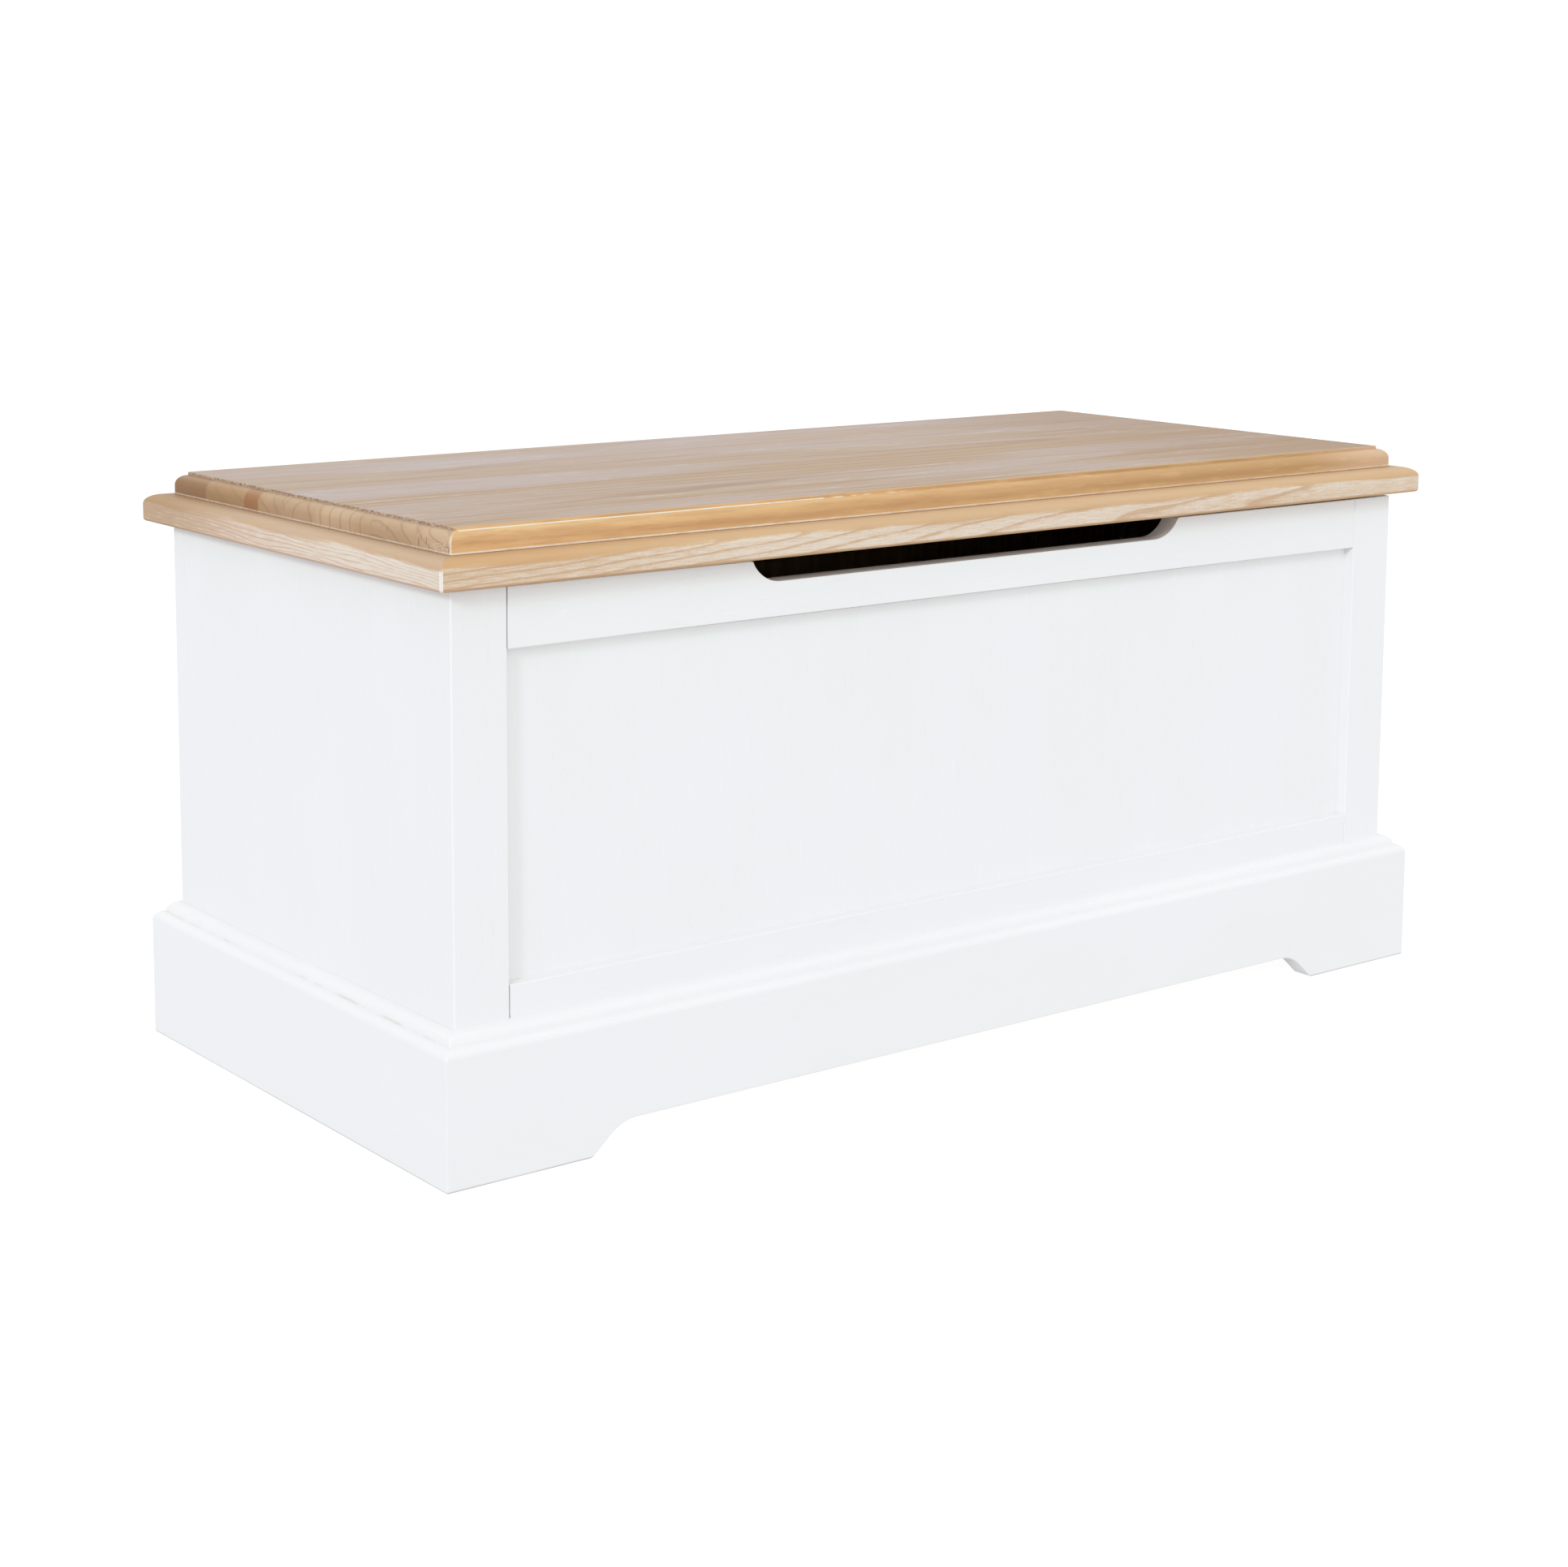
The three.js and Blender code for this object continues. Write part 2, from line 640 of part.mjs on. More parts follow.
function lidBracket(sign) {
  const x = sign * rodX;
  const plateBottom = lidBottom - bracketThickness;
  const [halfX, halfY] = [lidPlateWidth / 2, lidPlateLength / 2];
  const plate = roundedRectangle(x, lidPivotY, halfX, halfY, plateCornerRadius);
  const base = prismZ(plate, plateBottom, lidBottom);
  const outline = [
    ...arc(lidPivotY, lidPivotZ, rodEyeRadius, rodEyeRadius, 180, 360),
    point(lidPivotY + rodEyeRadius, lidBottom),
    point(lidPivotY - rodEyeRadius, lidBottom),
  ];
  const inner = rodEyeThickness / 2 + rivetClearance;
  const outer = inner + bracketThickness;
  const cheeks = prismX(outline, x + inner, x + outer).add(prismX(outline, x - outer, x - inner));
  const reach = outer + cutOverrun;
  const hole = cylinderX(rivetRadius + rivetClearance, x - reach, x + reach, lidPivotY, lidPivotZ);
  return base.add(cheeks).subtract(hole);
}

function stayRivet(sign) {
  const x = sign * rodX;
  const inner = rodEyeThickness / 2 + rivetClearance + bracketThickness;
  const outer = inner + rivetHeadLength;
  let rivet = cylinderX(rivetRadius, x - outer, x + outer, lidPivotY, lidPivotZ);
  for (const end of [-1, 1]) {
    rivet = rivet.add(cylinderX(rivetHeadRadius, x + end * inner, x + end * outer, lidPivotY, lidPivotZ));
  }
  return rivet;
}

function addStays() {
  for (const [side, sign] of [['left', -1], ['right', 1]]) {
    const lidPivot = { x: sign * rodX, y: lidPivotY, z: lidPivotZ, tilt: rodTilt };
    const wallPivot = { x: sign * rodX, y: wallPivotY, z: wallPivotZ, tilt: rodTilt };
    add(`stay_${side}_lid_bracket`, lidBracket(sign), steel());
    add(`stay_${side}_rivet`, stayRivet(sign), steel());
    add(`stay_${side}_rod`, stayRod(), steel(), lidPivot);
    add(`stay_${side}_stop_nut`, stopNut(), steel(), lidPivot);
    add(`stay_${side}_swivel`, staySwivel(sign), steel(), wallPivot);
    add(`stay_${side}_wall_bracket`, wallBracket(sign), steel());
  }
}

addFrame('front', -1);
addFrame('back', 1);
addSides();
addFloor();
addPlinth();
addLidFrame();
addTopPlanks();
addBattens();
addBuffers();
addHinges();
addStays();

export default chest;
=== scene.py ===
import math

import bmesh
import bpy
import numpy as np
from mathutils import Matrix, Vector


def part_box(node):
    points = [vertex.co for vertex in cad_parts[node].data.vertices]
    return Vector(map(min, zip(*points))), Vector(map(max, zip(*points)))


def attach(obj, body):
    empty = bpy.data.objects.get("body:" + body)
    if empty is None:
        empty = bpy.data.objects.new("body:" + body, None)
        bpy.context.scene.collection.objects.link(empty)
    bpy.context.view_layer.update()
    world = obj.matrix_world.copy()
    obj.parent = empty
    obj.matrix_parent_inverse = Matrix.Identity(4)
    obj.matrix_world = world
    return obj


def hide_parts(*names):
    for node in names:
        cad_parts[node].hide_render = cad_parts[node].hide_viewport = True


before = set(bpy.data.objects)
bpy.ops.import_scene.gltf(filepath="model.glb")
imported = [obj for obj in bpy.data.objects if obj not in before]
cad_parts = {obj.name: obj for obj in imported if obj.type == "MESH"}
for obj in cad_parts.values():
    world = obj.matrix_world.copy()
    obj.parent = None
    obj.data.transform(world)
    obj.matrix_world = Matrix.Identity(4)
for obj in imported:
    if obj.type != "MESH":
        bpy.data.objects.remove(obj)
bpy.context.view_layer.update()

# Camera. It stands off the left front corner of the chest, a little above the lid. Its place,
# turn and lens were fitted to the corners of the plinth, body and lid in the photograph.
image_width = 1932
sensor_width = 36.0
focal_pixels = 3518.67
shift_pixels = -300.0
camera_place = Vector((-1.47646, -1.86693, 0.72141))
camera_yaw = 0.6588
camera_pitch = 0.1380
camera_roll = 0.0065


def camera_turn(yaw, pitch, roll):
    """The turn whose columns are the camera's right, up and backward directions."""
    forward = Vector((math.sin(yaw) * math.cos(pitch), math.cos(yaw) * math.cos(pitch), -math.sin(pitch)))
    level = Vector((math.cos(yaw), -math.sin(yaw), 0))
    upright = level.cross(forward)
    right = level * math.cos(roll) + upright * math.sin(roll)
    up = upright * math.cos(roll) - level * math.sin(roll)
    return Matrix((right, up, -forward)).transposed()


def link(thing):
    """Puts an object into the scene and gives it back."""
    bpy.context.scene.collection.objects.link(thing)
    return thing


lens = bpy.data.cameras.new("camera")
lens.sensor_width = sensor_width
lens.lens = focal_pixels / image_width * sensor_width
lens.shift_y = shift_pixels / image_width
camera = link(bpy.data.objects.new("camera", lens))
camera_aim = camera_turn(camera_yaw, camera_pitch, camera_roll)
camera.matrix_world = Matrix.Translation(camera_place) @ camera_aim.to_4x4()
bpy.context.scene.camera = camera

# Studio. A white room and a bright pale floor light the chest from all sides, a soft lamp from
# the left throws the faint shadow of the stile on the panel, and a wide one fills the front. The
# photograph presses its whites together just below pure white, so a curve does the same here.
plain_white = (1.0, 1.0, 1.0)
cool_blue = (0.2, 0.2, 1.0)
room_strength = 0.66
room_front_share = 0.08
room_top_share = 1.20
backdrop_strength = 2.0
lamps = (("left_lamp", (-0.70, -0.37, 0.36), 1.45, 0.20, plain_white),
         ("front_lamp", (-0.20, -0.95, 0.12), 0.94, 1.3, plain_white),
         ("side_lamp", (-1.00, -0.15, 0.12), 0.12, 1.3, cool_blue))
floor_half = 9.0
floor_grey = (0.30, 0.30, 0.30)
floor_glow = 0.45
floor_seen = 1.20
white_level = 1.3
shoulder = ((0.35, 0.35), (0.60, 0.60), (0.75, 0.735), (0.85, 0.80), (0.95, 0.85), (1.05, 0.885),
            (1.15, 0.93))
red_tint = ((0.60, 0.600), (0.78, 0.765), (0.896, 0.850), (1.036, 0.988), (1.17, 1.14))
blue_tint = ((0.70, 0.700), (0.896, 0.882), (1.036, 1.077), (1.17, 1.19))


def set_tones():
    """The display curve: straight up to the mid tones, then flatter, and white at white_level.
    Just below white, red is held back and blue raised a little, so that whites are cool."""
    view = bpy.context.scene.view_settings
    view.view_transform = "Standard"
    view.use_curve_mapping = True
    view.curve_mapping.white_level = (white_level, white_level, white_level)
    for bright, shown in shoulder:
        view.curve_mapping.curves[3].points.new(bright / white_level, shown)
    for curve, tint in ((0, red_tint), (2, blue_tint)):
        for bright, tinted in tint:
            view.curve_mapping.curves[curve].points.new(bright / white_level, tinted / white_level)
    view.curve_mapping.update()


class Field:
    """A value or colour that changes over a surface: one output of a node. Sums, differences,
    products and quotients of fields and numbers become Math nodes in the same tree."""

    def __init__(self, tree, socket):
        self.tree = tree
        self.socket = socket

    def step(self, operation, other=0.0):
        """One step of arithmetic with another field or a number."""
        return wire(self.tree, "ShaderNodeMath", {0: self, 1: other}, operation=operation)

    def __add__(self, other):
        return self.step("ADD", other)

    def __sub__(self, other):
        return self.step("SUBTRACT", other)

    def __rsub__(self, other):
        return self * -1.0 + other

    def __mul__(self, other):
        return self.step("MULTIPLY", other)

    def __truediv__(self, other):
        return self.step("DIVIDE", other)

    def __abs__(self):
        return self.step("ABSOLUTE")


def feed(tree, node, inputs):
    """Fills a node's sockets: a field is linked, a number or colour is set on the socket itself."""
    for name, value in inputs.items():
        socket = node.inputs[name]
        if isinstance(value, Field):
            tree.links.new(value.socket, socket)
        else:
            socket.default_value = (*value, 1) if socket.type == "RGBA" else value


def wire(tree, kind, inputs=None, output=0, **settings):
    """Adds one node and gives back one of its outputs."""
    made = tree.nodes.new(kind)
    for name, value in settings.items():
        setattr(made, name, value)
    feed(tree, made, inputs or {})
    return Field(tree, made.outputs[output]) if made.outputs else None


def split(vector):
    """The X, Y and Z of a vector."""
    parts = wire(vector.tree, "ShaderNodeSeparateXYZ", {"Vector": vector}).socket.node
    return [Field(vector.tree, part) for part in parts.outputs]


def light_room():
    """World whose light grows with the direction towards the front and the top, and which is
    plain white behind the chest."""
    world = bpy.data.worlds.new("studio")
    world.use_nodes = True
    tree = world.node_tree
    tree.nodes.clear()
    inward, upward = split(wire(tree, "ShaderNodeTexCoord", output="Generated"))[1:]
    strength = (inward * -room_front_share + (upward * room_top_share + 1.0)) * room_strength
    room = wire(tree, "ShaderNodeBackground", {"Color": plain_white, "Strength": strength})
    behind = wire(tree, "ShaderNodeBackground", {"Color": plain_white, "Strength": backdrop_strength})
    seen = wire(tree, "ShaderNodeLightPath", output="Is Camera Ray")
    light = wire(tree, "ShaderNodeMixShader", {0: seen, 1: room, 2: behind})
    wire(tree, "ShaderNodeOutputWorld", {"Surface": light})
    bpy.context.scene.world = world


def new_material(name):
    """A new material with its node tree and its Principled shader."""
    made = bpy.data.materials.new(name)
    made.use_nodes = True
    return made, made.node_tree, made.node_tree.nodes["Principled BSDF"]


def lay_floor():
    """One flat square, marked as the stage."""
    near, far = -floor_half, floor_half
    mesh = bpy.data.meshes.new("studio_floor")
    mesh.from_pydata([(near, near, 0), (far, near, 0), (far, far, 0), (near, far, 0)], [], [(0, 1, 2, 3)])
    material, tree, shader = new_material("studio_floor")
    seen = wire(tree, "ShaderNodeLightPath", output="Is Camera Ray")
    feed(tree, shader, {"Base Color": floor_grey, "Roughness": 0.9, "Specular IOR Level": 0.0,
                        "Emission Color": plain_white,
                        "Emission Strength": seen * (floor_seen - floor_glow) + floor_glow})
    mesh.materials.append(material)
    link(bpy.data.objects.new("studio_floor", mesh))


set_tones()
light_room()
lay_floor()
for name, direction, strength, angle, tone in lamps:
    lamp = bpy.data.lights.new(name, "SUN")
    lamp.energy = strength
    lamp.angle = angle
    lamp.color = tone
    hung = link(bpy.data.objects.new(name, lamp))
    hung.rotation_mode = "QUATERNION"
    hung.rotation_quaternion = Vector(direction).to_track_quat("Z", "Y")

# Front and back frames. Each is two upright stiles, a top rail, a deep bottom rail and a thin
# panel set back in grooves, all of painted softwood. The front top rail has the hand cut-out.
# The arrises are eased by hand, and the rails meet the stiles on fine open joints.
eased_arris = 0.0011
seam_arris = 0.0005
rail_top_arris = 0.0007
left_seam = 0.00032
right_seam = 0.00014
filled_seam = 0.00002
corner_round = 0.0015
end_round = 0.00045
# Stile corner: painted highlight. Top rail's lower front arris: painted shade. Rail ends: seam wear.
stile_corner_highlight, rail_under_arris_shade, rail_end_wear = -1.0, 1.0, 0.8
panel_recess = 0.010
panel_arris = 0.0004
groove_width = 0.0066
groove_depth = 0.009
panel_slack = 0.00026
side_tongue = 0.006
hand_cut_centre = -0.003
hand_cut_flat = 0.389
hand_cut_depth = 0.0162
hand_cut_round = 0.029
hand_cut_lip = 0.004
hand_cut_steps = (15, 9)
arc_steps = 4
wood_crease = math.radians(38)
out_of_level = 0.0013
level_reach = 0.0016
half_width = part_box("left_side_panel")[0].x * -1
half_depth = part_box("front_left_stile")[0].y * -1
stile_low, stile_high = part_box("front_left_stile")
stile_width = stile_high.x - stile_low.x
board_thickness = stile_high.y - stile_low.y
body_bottom, body_top = stile_low.z, stile_high.z
open_half = half_width - stile_width
paint_white = (0.792, 0.794, 0.794)
# Grey for worn paint, also used for painted shade at the foot and under the top rails.
paint_wear_and_shade = (0.330, 0.325, 0.315)
# Near white for the paler brush strokes and for the painted highlight on the body's corners.
paint_pale_and_highlight = (0.930, 0.930, 0.930)
paint_gloss = 0.24
paint_relief = (0.25, 0.0003)
paint_depth = 0.0176
panel_paint_depth = 0.0155
# Inside the box the bare pine is darker than elsewhere: painted shade for the closed box.
pine_inside_shaded = (0.330, 0.215, 0.115)
pine_inside_shaded_dark = (0.240, 0.150, 0.075)


def rounded(corners, radii, wear=None, steps=arc_steps):
    """An outline whose corners are turned on arcs. Each arc runs between the points that lie
    radius / tan(half the corner's angle) from the corner. Gives the points and, for each, its
    arris mark: the corner's mark in the middle of its arc, 0 on the flats. A positive mark is
    wear, and on the top rails' lower front arris painted shade; a negative one is a painted
    highlight."""
    wear = np.zeros(len(corners)) if wear is None else np.array(wear, float)
    corners = np.array(corners, float)
    radii = np.maximum(np.array(radii, float), 1e-7)[:, None]
    before = np.roll(corners, 1, 0) - corners
    after = np.roll(corners, -1, 0) - corners
    before /= np.linalg.norm(before, axis=1, keepdims=True)
    after /= np.linalg.norm(after, axis=1, keepdims=True)
    half = np.arccos(np.clip((before * after).sum(1, keepdims=True), -1, 1)) / 2
    middle = before + after
    centre = corners + middle / np.linalg.norm(middle, axis=1, keepdims=True) * radii / np.sin(half)
    start = corners + before * radii / np.tan(half) - centre
    end = corners + after * radii / np.tan(half) - centre
    sweep = (np.pi - 2 * half)[:, None, :]
    share = np.linspace(0, 1, steps + 1)[None, :, None]
    weight_start = np.sin((1 - share) * sweep) / np.sin(sweep)
    weight_end = np.sin(share * sweep) / np.sin(sweep)
    points = (centre[:, None] + weight_start * start[:, None] + weight_end * end[:, None]).reshape(-1, 2)
    worn = (np.sin(np.pi * share) * wear[:, None, None]).reshape(-1)
    kept = np.linalg.norm(points - np.roll(points, 1, 0), axis=1) > 1e-6
    return points[kept], worn[kept]


def drawn_in(outline, depths):
    """The outline moved inwards by each depth, every point along the mitre of its two edges."""
    ahead = np.roll(outline, -1, 0) - outline
    area = (outline[:, 0] * np.roll(outline[:, 1], -1) - np.roll(outline[:, 0], -1) * outline[:, 1]).sum()
    normal = np.stack([-ahead[:, 1], ahead[:, 0]], 1) * np.sign(area)
    normal /= np.linalg.norm(normal, axis=1, keepdims=True)
    other = np.roll(normal, 1, 0)
    mitre = (normal + other) / (1 + (normal * other).sum(1, keepdims=True))
    return outline[None] + np.asarray(depths)[:, None, None] * mitre[None]


def bar(outline, worn, low, high, arris, between=(), end_wear=0.0):
    """An outline carried straight from low to high. Towards each end it is drawn in by
    arris * (1 - sin t) over the last arris * (1 - cos t), so the end arrises are round. Gives
    rings of points (across, across, along) and each point's arris mark: wear, painted shade
    and painted highlights alike."""
    turn = np.linspace(0, np.pi / 2, arc_steps)
    depth = arris * (1 - np.sin(turn))
    along = arris * (1 - np.cos(turn))
    flats = np.zeros(len(between))
    places = np.concatenate([low + along, between, (high - along)[::-1]])
    end_worn = np.concatenate([np.cos(turn), flats, np.cos(turn)[::-1]]) * end_wear
    flat = drawn_in(outline, np.concatenate([depth, flats, depth[::-1]]))
    rings = np.concatenate([flat, np.broadcast_to(places[:, None, None], flat.shape[:2] + (1,))], 2)
    return rings, np.where(end_worn[:, None] > 0, end_worn[:, None], worn[None])


def along_x(rings):
    """Turns rings of (y, z, x) into places."""
    return rings[..., [2, 0, 1]]


def skin(rings, first=0):
    """Faces over rings of equal length, counted from the first point's number: a quad between
    neighbours and one face on each end."""
    count, size = rings.shape[:2]
    ring, step = np.meshgrid(np.arange(count - 1), np.arange(size), indexing="ij")
    a = first + ring * size + step
    b = first + ring * size + (step + 1) % size
    quads = np.stack([a, b, b + size, a + size], -1).reshape(-1, 4).tolist()
    last = first + (count - 1) * size
    return quads + [list(range(first, first + size))[::-1], list(range(last, last + size))]


def place(name, mesh, material, body, nodes):
    """Makes the piece, and says what it rides on and which parts of the frame it stands for."""
    piece = link(bpy.data.objects.new(name, mesh))
    mesh.materials.append(material)
    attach(piece, body)
    if nodes:
        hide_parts(*nodes)
    return piece


def place_solid(name, points, faces, worn, material, body, nodes=()):
    """A piece made of points and faces, with each point's arris mark kept as the attribute arris:
    wear, painted shade and painted highlights alike. Its faces point outwards: the volume under
    them is positive, or all are turned."""
    mesh = bpy.data.meshes.new(name)
    mesh.from_pydata(points.reshape(-1, 3).tolist(), [], faces)
    mesh.validate()
    shell = bmesh.new()
    shell.from_mesh(mesh)
    if shell.calc_volume(signed=True) < 0:
        bmesh.ops.reverse_faces(shell, faces=shell.faces[:])
    shell.to_mesh(mesh)
    shell.free()
    wear = mesh.attributes.new("arris", "FLOAT", "POINT")
    wear.data.foreach_set("value", worn.reshape(-1).astype(np.float32))
    mesh.polygons.foreach_set("use_smooth", np.ones(len(mesh.polygons), bool))
    mesh.set_sharp_from_angle(angle=wood_crease)
    piece = place(name, mesh, material, body, nodes)
    piece.modifiers.new("even_shading", "WEIGHTED_NORMAL").keep_sharp = True


def make(node, rings, worn, material, slot, body="carcass"):
    """One piece made of rings, in place of the frame's node of that name. The body's top edge
    was planed a little out of level: it rises towards the left end of the front."""
    to_left = np.clip((half_width - rings[..., 0]) / (2 * half_width), 0, 1)
    share = to_left * np.clip((half_depth - 2 * rings[..., 1]) / (3 * half_depth), 0, 1)
    on_top_edge = (np.abs(rings[..., 2] - body_top) < level_reach) & (slot == "painted_wood")
    rings[..., 2] += out_of_level * share * on_top_edge
    place_solid(node + "_shown", rings, skin(rings), worn, material, body, [node])


def mapped(tree, turn=(0, 0, 0), shift=(0, 0, 0)):
    """Object coordinates, turned so that the grain runs along X, and moved to another log."""
    where = wire(tree, "ShaderNodeTexCoord", output="Object")
    return wire(tree, "ShaderNodeMapping", {"Vector": where, "Rotation": turn, "Location": shift})


def noise(vector, stretch, detail=2.0, roughness=0.5):
    """Soft noise from 0 to 1, on coordinates scaled along the grain, across it and, where three
    numbers are given, upwards."""
    scale = (*stretch, stretch[-1])[:3]
    drawn = wire(vector.tree, "ShaderNodeVectorMath", {0: vector, 1: scale}, operation="MULTIPLY")
    inputs = {"Vector": drawn, "Scale": 1.0, "Detail": detail, "Roughness": roughness}
    return wire(vector.tree, "ShaderNodeTexNoise", inputs, "Fac")


def ramp(value, low, high, start=0.0, end=1.0):
    """A smooth step of a value between low and high."""
    inputs = {"Value": value, "From Min": low, "From Max": high, "To Min": start, "To Max": end}
    return wire(value.tree, "ShaderNodeMapRange", inputs, interpolation_type="SMOOTHSTEP")


def within(value, low, low_full, high_full, high):
    """1 from low_full to high_full, and 0 below low and above high."""
    return ramp(value, low, low_full) * ramp(value, high, high_full)


def mix(share, first, second):
    """A blend of two colours."""
    return wire(share.tree, "ShaderNodeMix", {0: share, 6: first, 7: second}, 2, data_type="RGBA")


def coats(colour, *layers):
    """A colour with others laid over it one after another, each with its share."""
    for share, coat in layers:
        colour = mix(share, colour, coat)
    return colour


def bump(height, strength, distance):
    """The normal of a surface that stands in relief."""
    return wire(height.tree, "ShaderNodeBump", {"Height": height, "Strength": strength, "Distance": distance})


def arris_wear_and_highlight(tree):
    """A place's arris mark: up to 1 on dirty edges and on painted shade, -1 on painted highlights."""
    return wire(tree, "ShaderNodeAttribute", output="Fac", attribute_name="arris")


def new_group(name, inputs, outputs):
    """A node group with its named sockets. An input is a number, a colour or, for None, a vector;
    the output called Color is a colour, and the others are numbers."""
    tree = bpy.data.node_groups.new(name, "ShaderNodeTree")
    for label, value in inputs.items():
        kind = "Vector" if value is None else "Color" if isinstance(value, tuple) else "Float"
        socket = tree.interface.new_socket(label, in_out="INPUT", socket_type="NodeSocket" + kind)
        if value is not None:
            socket.default_value = (*value, 1) if kind == "Color" else value
    for label in outputs:
        kind = "Color" if label == "Color" else "Float"
        tree.interface.new_socket(label, in_out="OUTPUT", socket_type="NodeSocket" + kind)
    given = tree.nodes.new("NodeGroupInput").outputs
    return tree, {socket.name: Field(tree, socket) for socket in given}


def use_group(tree, group, inputs):
    """Places a node group in a material with its own values, and gives its outputs by name."""
    made = tree.nodes.new("ShaderNodeGroup")
    made.node_tree = group
    feed(tree, made, inputs)
    return {socket.name: Field(tree, socket) for socket in made.outputs}


def brushed_paint_group():
    """White paint brushed over a board. Vector runs along the grain in X, Place is the piece's
    own place. Short thin strokes, where noise drawn out along the grain passes a threshold, are
    darker or lighter. Grey marks the worn seams and, as painted shade, the foot and the lower
    front arris of the top rails. A painted highlight lightens corners marked negative, high on
    the body. Where the place lies deeper behind the body's faces than Inside, the board is bare
    pine, darkened as painted shade."""
    tree, given = new_group(
        "brushed paint",
        {"Vector": None, "Place": None, "Arris": 0.0, "Inside": paint_depth, "White": paint_white},
        ["Color", "Gloss", "Height"])
    vector, arris = given["Vector"], given["Arris"]
    fine = noise(vector, (70, 700), 2, 0.6)
    coarse = noise(vector, (8, 160))
    cloud = noise(vector, (5, 14), 3)
    dark = ramp(fine, 0.60, 0.70) * ramp(coarse, 0.48, 0.60)
    light = ramp(fine, 0.40, 0.30) * ramp(coarse, 0.52, 0.40)
    x, y, z = split(given["Place"])
    # Painted shade: the paint greys towards the foot, standing in for shadow where it meets the floor.
    foot = ramp(z, 0.0022, 0.0006) * ramp(cloud, 0.35, 0.55, 0.5, 1.0)
    thin = dark * 0.10 + ramp(cloud, 0.35, 0.65, 0.0, 0.05)
    # Positive arris marks grey the paint: wear at the seams, painted shade under the top rails.
    thin = foot * 0.75 + (arris.step("MAXIMUM", 0.0) * 0.85 + thin)
    # Painted highlight on corners marked -1, growing from 0.28 m up to full at 0.40 m and above.
    painted_corner_highlight = ramp(arris, -0.75, -1.0) * ramp(z, 0.28, 0.40, 0.0, 0.55)
    # Inside the box the paint gives way to bare pine, darkened as painted shade.
    deep = (half_width - abs(x)).step("MINIMUM", half_depth - abs(y)) - given["Inside"]
    pine = mix(ramp(coarse, 0.3, 0.7), pine_inside_shaded, pine_inside_shaded_dark)
    colour = coats(given["White"], (thin, paint_wear_and_shade), (light * 0.3 + painted_corner_highlight, paint_pale_and_highlight),
                   (ramp(deep, -0.0001, 0.0001), pine))
    height = dark * -0.6 + (fine * 0.5 + coarse)
    wire(tree, "NodeGroupOutput", {"Color": colour, "Gloss": cloud * 0.14, "Height": height})
    return tree


brushed_paint = brushed_paint_group()
grain_turns = {"x": (0, 0, 0), "y": (0, 0, math.radians(90)), "z": (0, math.radians(90), 0)}


def painted(name, grain, shift=(0, 0, 0), inside=paint_depth):
    """Satin off-white paint, brushed along the board."""
    material, tree, shader = new_material(name)
    coat = use_group(tree, brushed_paint, {
        "Vector": mapped(tree, grain_turns[grain], shift), "Place": mapped(tree),
        "Arris": arris_wear_and_highlight(tree), "Inside": inside})
    feed(tree, shader, {"Base Color": coat["Color"], "Roughness": coat["Gloss"] + paint_gloss,
                        "Normal": bump(coat["Height"], *paint_relief)})
    return material


paint_upright = painted("paint_upright", "z")
paint_level = painted("paint_level", "x", (0.3, 0.1, 0.2))
paint_panel = painted("paint_panel", "z", (0.7, 0.4, 0.1), panel_paint_depth)


def stile_outline(face):
    """Plan of a stile as (in from the side, in from the face), grooved for panel and side board."""
    slot_start = (board_thickness - side_tongue) / 2
    slot_end = slot_start + side_tongue
    slot_bottom = board_thickness - side_tongue
    groove_back = panel_recess + groove_width
    groove_end = stile_width - groove_depth
    corners = [(0, 0), (stile_width, 0), (stile_width, panel_recess), (groove_end, panel_recess),
               (groove_end, groove_back), (stile_width, groove_back), (stile_width, board_thickness),
               (slot_end, board_thickness), (slot_end, slot_bottom), (slot_start, slot_bottom),
               (slot_start, board_thickness), (0, board_thickness)]
    outer_seam = 0 if face < 0 else seam_arris
    radii = [corner_round, eased_arris, 0, 0, 0, 0, seam_arris, 0, 0, 0, 0, outer_seam]
    return rounded(corners, radii, [stile_corner_highlight] + [0] * 11)


def stile(name, side, face):
    """An upright, its plan mirrored to its corner of the body."""
    outline, worn = stile_outline(face)
    plan = np.stack([side * (half_width - outline[:, 0]), face * (half_depth - outline[:, 1])], 1)
    rings, worn = bar(plan, worn, body_bottom, body_top, end_round)
    make(name, rings, worn, paint_upright, "painted_wood")


def rail_outline(low, high, groove_on_top):
    """Section of a rail as (in from the face, height), grooved for the panel on one edge."""
    groove_back = panel_recess + groove_width
    if groove_on_top:
        groove = high - groove_depth
        corners = [(0, low), (board_thickness, low), (board_thickness, high), (groove_back, high),
                   (groove_back, groove), (panel_recess, groove), (panel_recess, high), (0, high)]
        return rounded(corners, [seam_arris, seam_arris, seam_arris, 0, 0, 0, 0, eased_arris])
    groove = low + groove_depth
    corners = [(0, low), (panel_recess, low), (panel_recess, groove), (groove_back, groove),
               (groove_back, low), (board_thickness, low), (board_thickness, high), (0, high)]
    radii = [eased_arris, 0, 0, 0, 0, seam_arris, seam_arris, rail_top_arris]
    # A top rail's lower front arris is marked for painted shade.
    return rounded(corners, radii, [rail_under_arris_shade] + [0] * 7)


